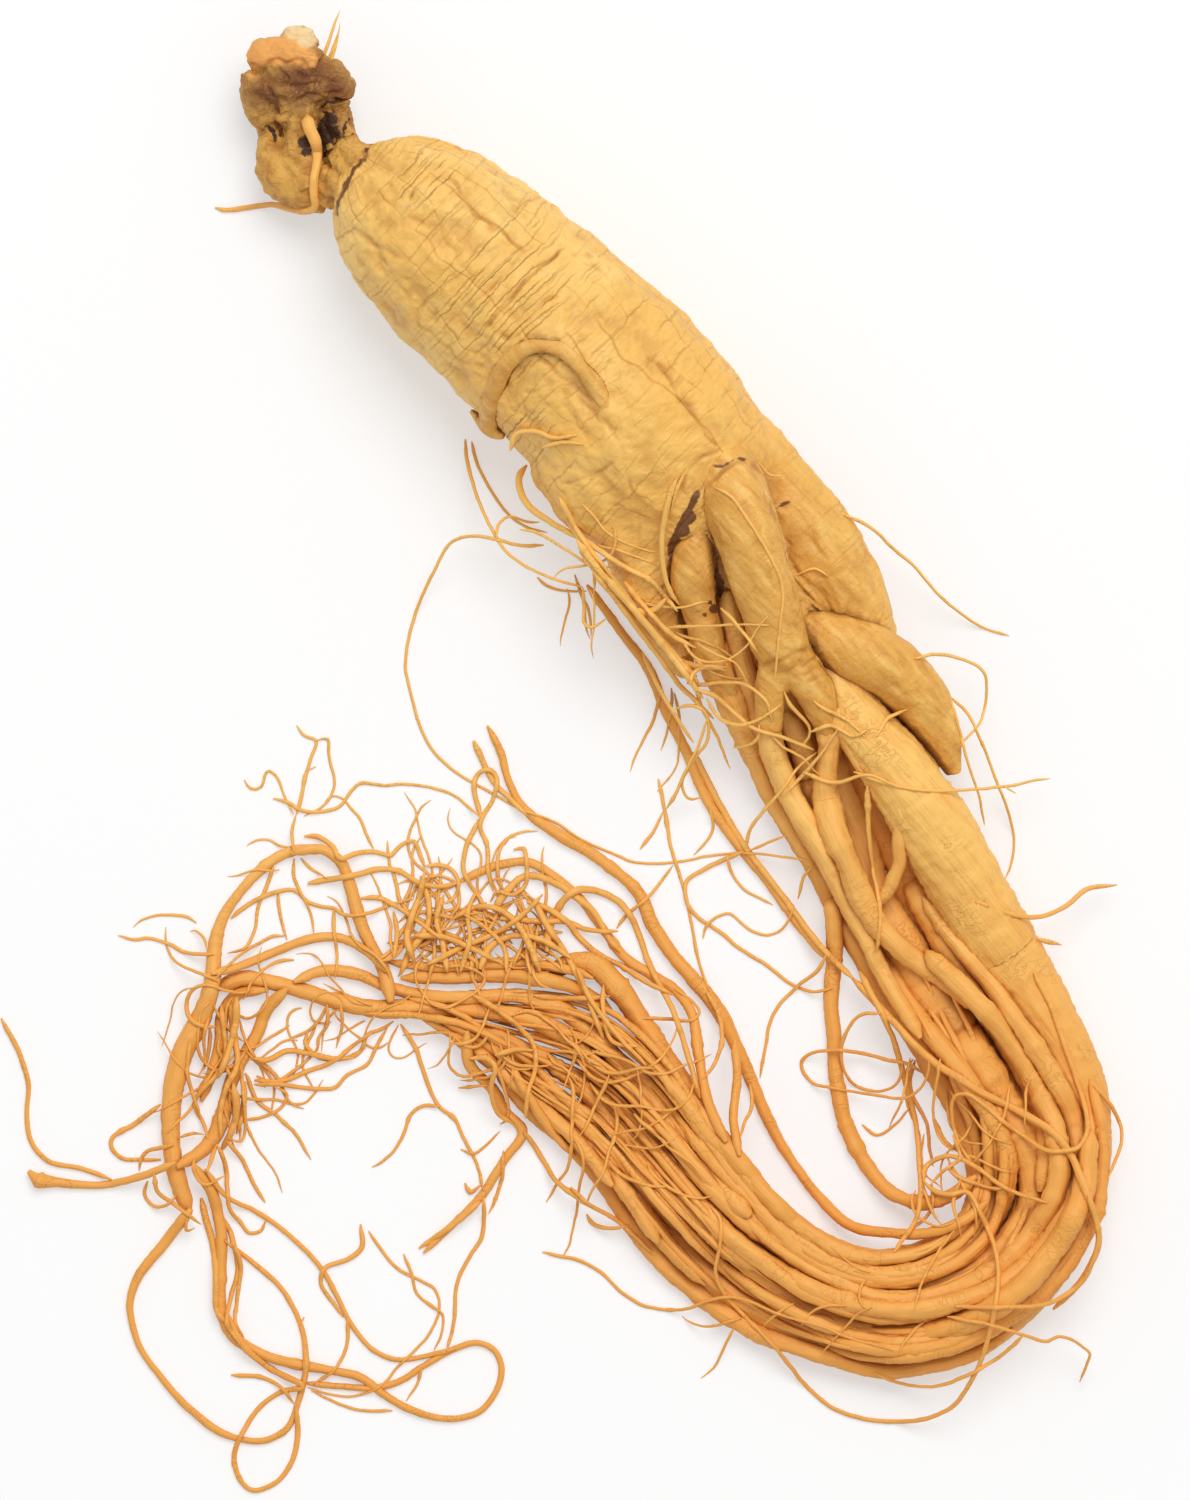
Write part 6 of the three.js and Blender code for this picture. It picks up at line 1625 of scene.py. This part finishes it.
# Hair roots, grown at random from given starts, each in its own direction.
hairs = {
    "seed": 5,
    "step": 0.8,
    "steadiness": 0.75,  # how much of a turn carries on into the next step
    "turnShare": 0.5,
    "headingSpread": 0.5,
    "taper": (1.1, 0.6),  # share of a hair's radius at its start and end
    "groups": [
        # x, y, spread x, spread y, count, shortest, longest, thinnest, thickest, heading, bend
        (-6, -26, 8, 5, 20, 12, 26, 0.2, 0.4, 3.0, 0.2),
        (-22, -27, 7, 5, 15, 12, 24, 0.2, 0.38, 0.3, 0.2),
        (-12, -33, 14, 2, 16, 8, 20, 0.18, 0.34, 1.8, 0.2),
        (-10, -42, 12, 3, 16, 8, 18, 0.18, 0.34, 5.2, 0.24),
        (10, -54, 10, 10, 14, 10, 22, 0.2, 0.36, 5.4, 0.16),
        (-30, -40, 12, 4, 12, 8, 16, 0.18, 0.3, 3.4, 0.26),
        (-50, -44, 4, 8, 20, 9, 20, 0.2, 0.38, 4.7, 0.17),
        (-46, -31, 9, 5, 5, 8, 16, 0.16, 0.3, 2.8, 0.2),
        (-34, -18, 8, 4, 3, 6, 14, 0.16, 0.26, 2.8, 0.28),
        (4, 31, 4, 7, 10, 8, 18, 0.18, 0.3, 5.3, 0.16),
        (17.6, 13, 3, 7, 10, 10, 20, 0.2, 0.34, 5.3, 0.12),
        (34, 4, 5, 7, 4, 6, 13, 0.18, 0.32, 5.2, 0.2),
        (56, -54, 3, 10, 8, 10, 18, 0.22, 0.36, 4.9, 0.16),
        (62, -60, 10, 12, 8, 8, 16, 0.2, 0.34, 4.6, 0.2),
        (40, -82, 20, 5, 8, 6, 12, 0.2, 0.32, 3.4, 0.2),
    ],
}


def hairRoutes():
    chance = np.random.default_rng(hairs["seed"])
    routes = []
    for x, y, wide, tall, count, short, far, thin, thick, heading, bend in hairs["groups"]:
        for _ in range(count):
            steps = int(chance.uniform(short, far) / hairs["step"])
            turn = chance.normal(0, bend, steps)
            for i in range(1, steps):
                turn[i] += hairs["steadiness"] * turn[i - 1]
            angle = heading + chance.normal(0, hairs["headingSpread"])
            angle = angle + np.cumsum(turn) * hairs["turnShare"]
            line = np.cumsum(np.column_stack([np.cos(angle), np.sin(angle)]) * hairs["step"], axis=0)
            line += (x + chance.uniform(-wide, wide), y + chance.uniform(-tall, tall))
            radius = chance.uniform(thin, thick) * np.linspace(*hairs["taper"], steps)
            routes.append(np.column_stack([line, radius]))
    return routes


def drawnRoutes():
    # the routes of the rootlets drawn one by one
    routes = []
    for group in rootlets.values():
        for radius, numbers in group:
            points = np.array(numbers, float).reshape(-1, 2)
            along = np.linspace(*rootletTaper, len(points))
            routes.append(np.column_stack([points, radius * along]))
    return routes


def makeStrands():
    step = laying["step"]
    chance = np.random.default_rng(bundle["seed"])
    great = heap.layAll([rightLeg], step)
    lowest = heap.layAll(lowestRoutes(), step)
    hidden = heap.holdAll(hiddenStrands, step)
    legRoutes = heap.layAll(legs, step)
    tailRoutes = heap.layAll(tailStrands + bundle["outer"], step)
    manner = laying["stiffness"], laying["bundleSettle"], laying["bundleCeiling"]
    below, above, thin = [heap.layAll(bundleRoutes(bundle[layer], chance), step, *manner)
                          for layer in ("below", "above", "tail")]
    longRoutes = heap.layAll(longStrands, step)
    return [
        strandPiece("great_leg", great, greatMaterial, strandSizes["greatLeg"]),
        strandPiece("legs", legRoutes, legMaterial, strandSizes["legs"]),
        strandPiece("tail_strands", tailRoutes, tailMaterial, strandSizes["legs"]),
        strandPiece("bundle_strands", hidden + lowest + below + above + thin, tailMaterial,
                    strandSizes["bundle"]),
        strandPiece("long_strands", longRoutes, tailMaterial, strandSizes["long"]),
    ]


strandPieces = makeStrands()
print("legs and strands")


def makeRootlets():
    # fine rootlets drop onto the finished surfaces, the drawn ones last
    fine = Heap()
    fine.ground = skinBelow(*bodyPieces, neckPiece, *strandPieces)
    step, manner = laying["rootletStep"], (laying["rootletStiffness"], laying["rootletSettle"])
    hair = fine.layAll(hairRoutes(), step, *manner)
    drawn = fine.layAll(drawnRoutes(), step, *manner)
    # how closed in the body and strands are, for the shade painted into their skins
    for piece in (*bodyPieces, *strandPieces):
        shade(piece, fine.ground)
    rootlet = fine.layAll([neckRootlet], laying["neckStep"], laying["neckStiffness"],
                          laying["rootletSettle"])
    straws = [heldRoute(straw, laying["strawStep"]) for straw in neck["straws"]]
    strandPiece("neck_rootlet", rootlet, legMaterial, strandSizes["long"])
    strandPiece("neck_straws", straws, rootletMaterial, strandSizes["rootlets"])
    strandPiece("hair_roots", hair, rootletMaterial, strandSizes["hairs"])
    strandPiece("rootlets", drawn, rootletMaterial, strandSizes["rootlets"])


makeRootlets()
print("rootlets")
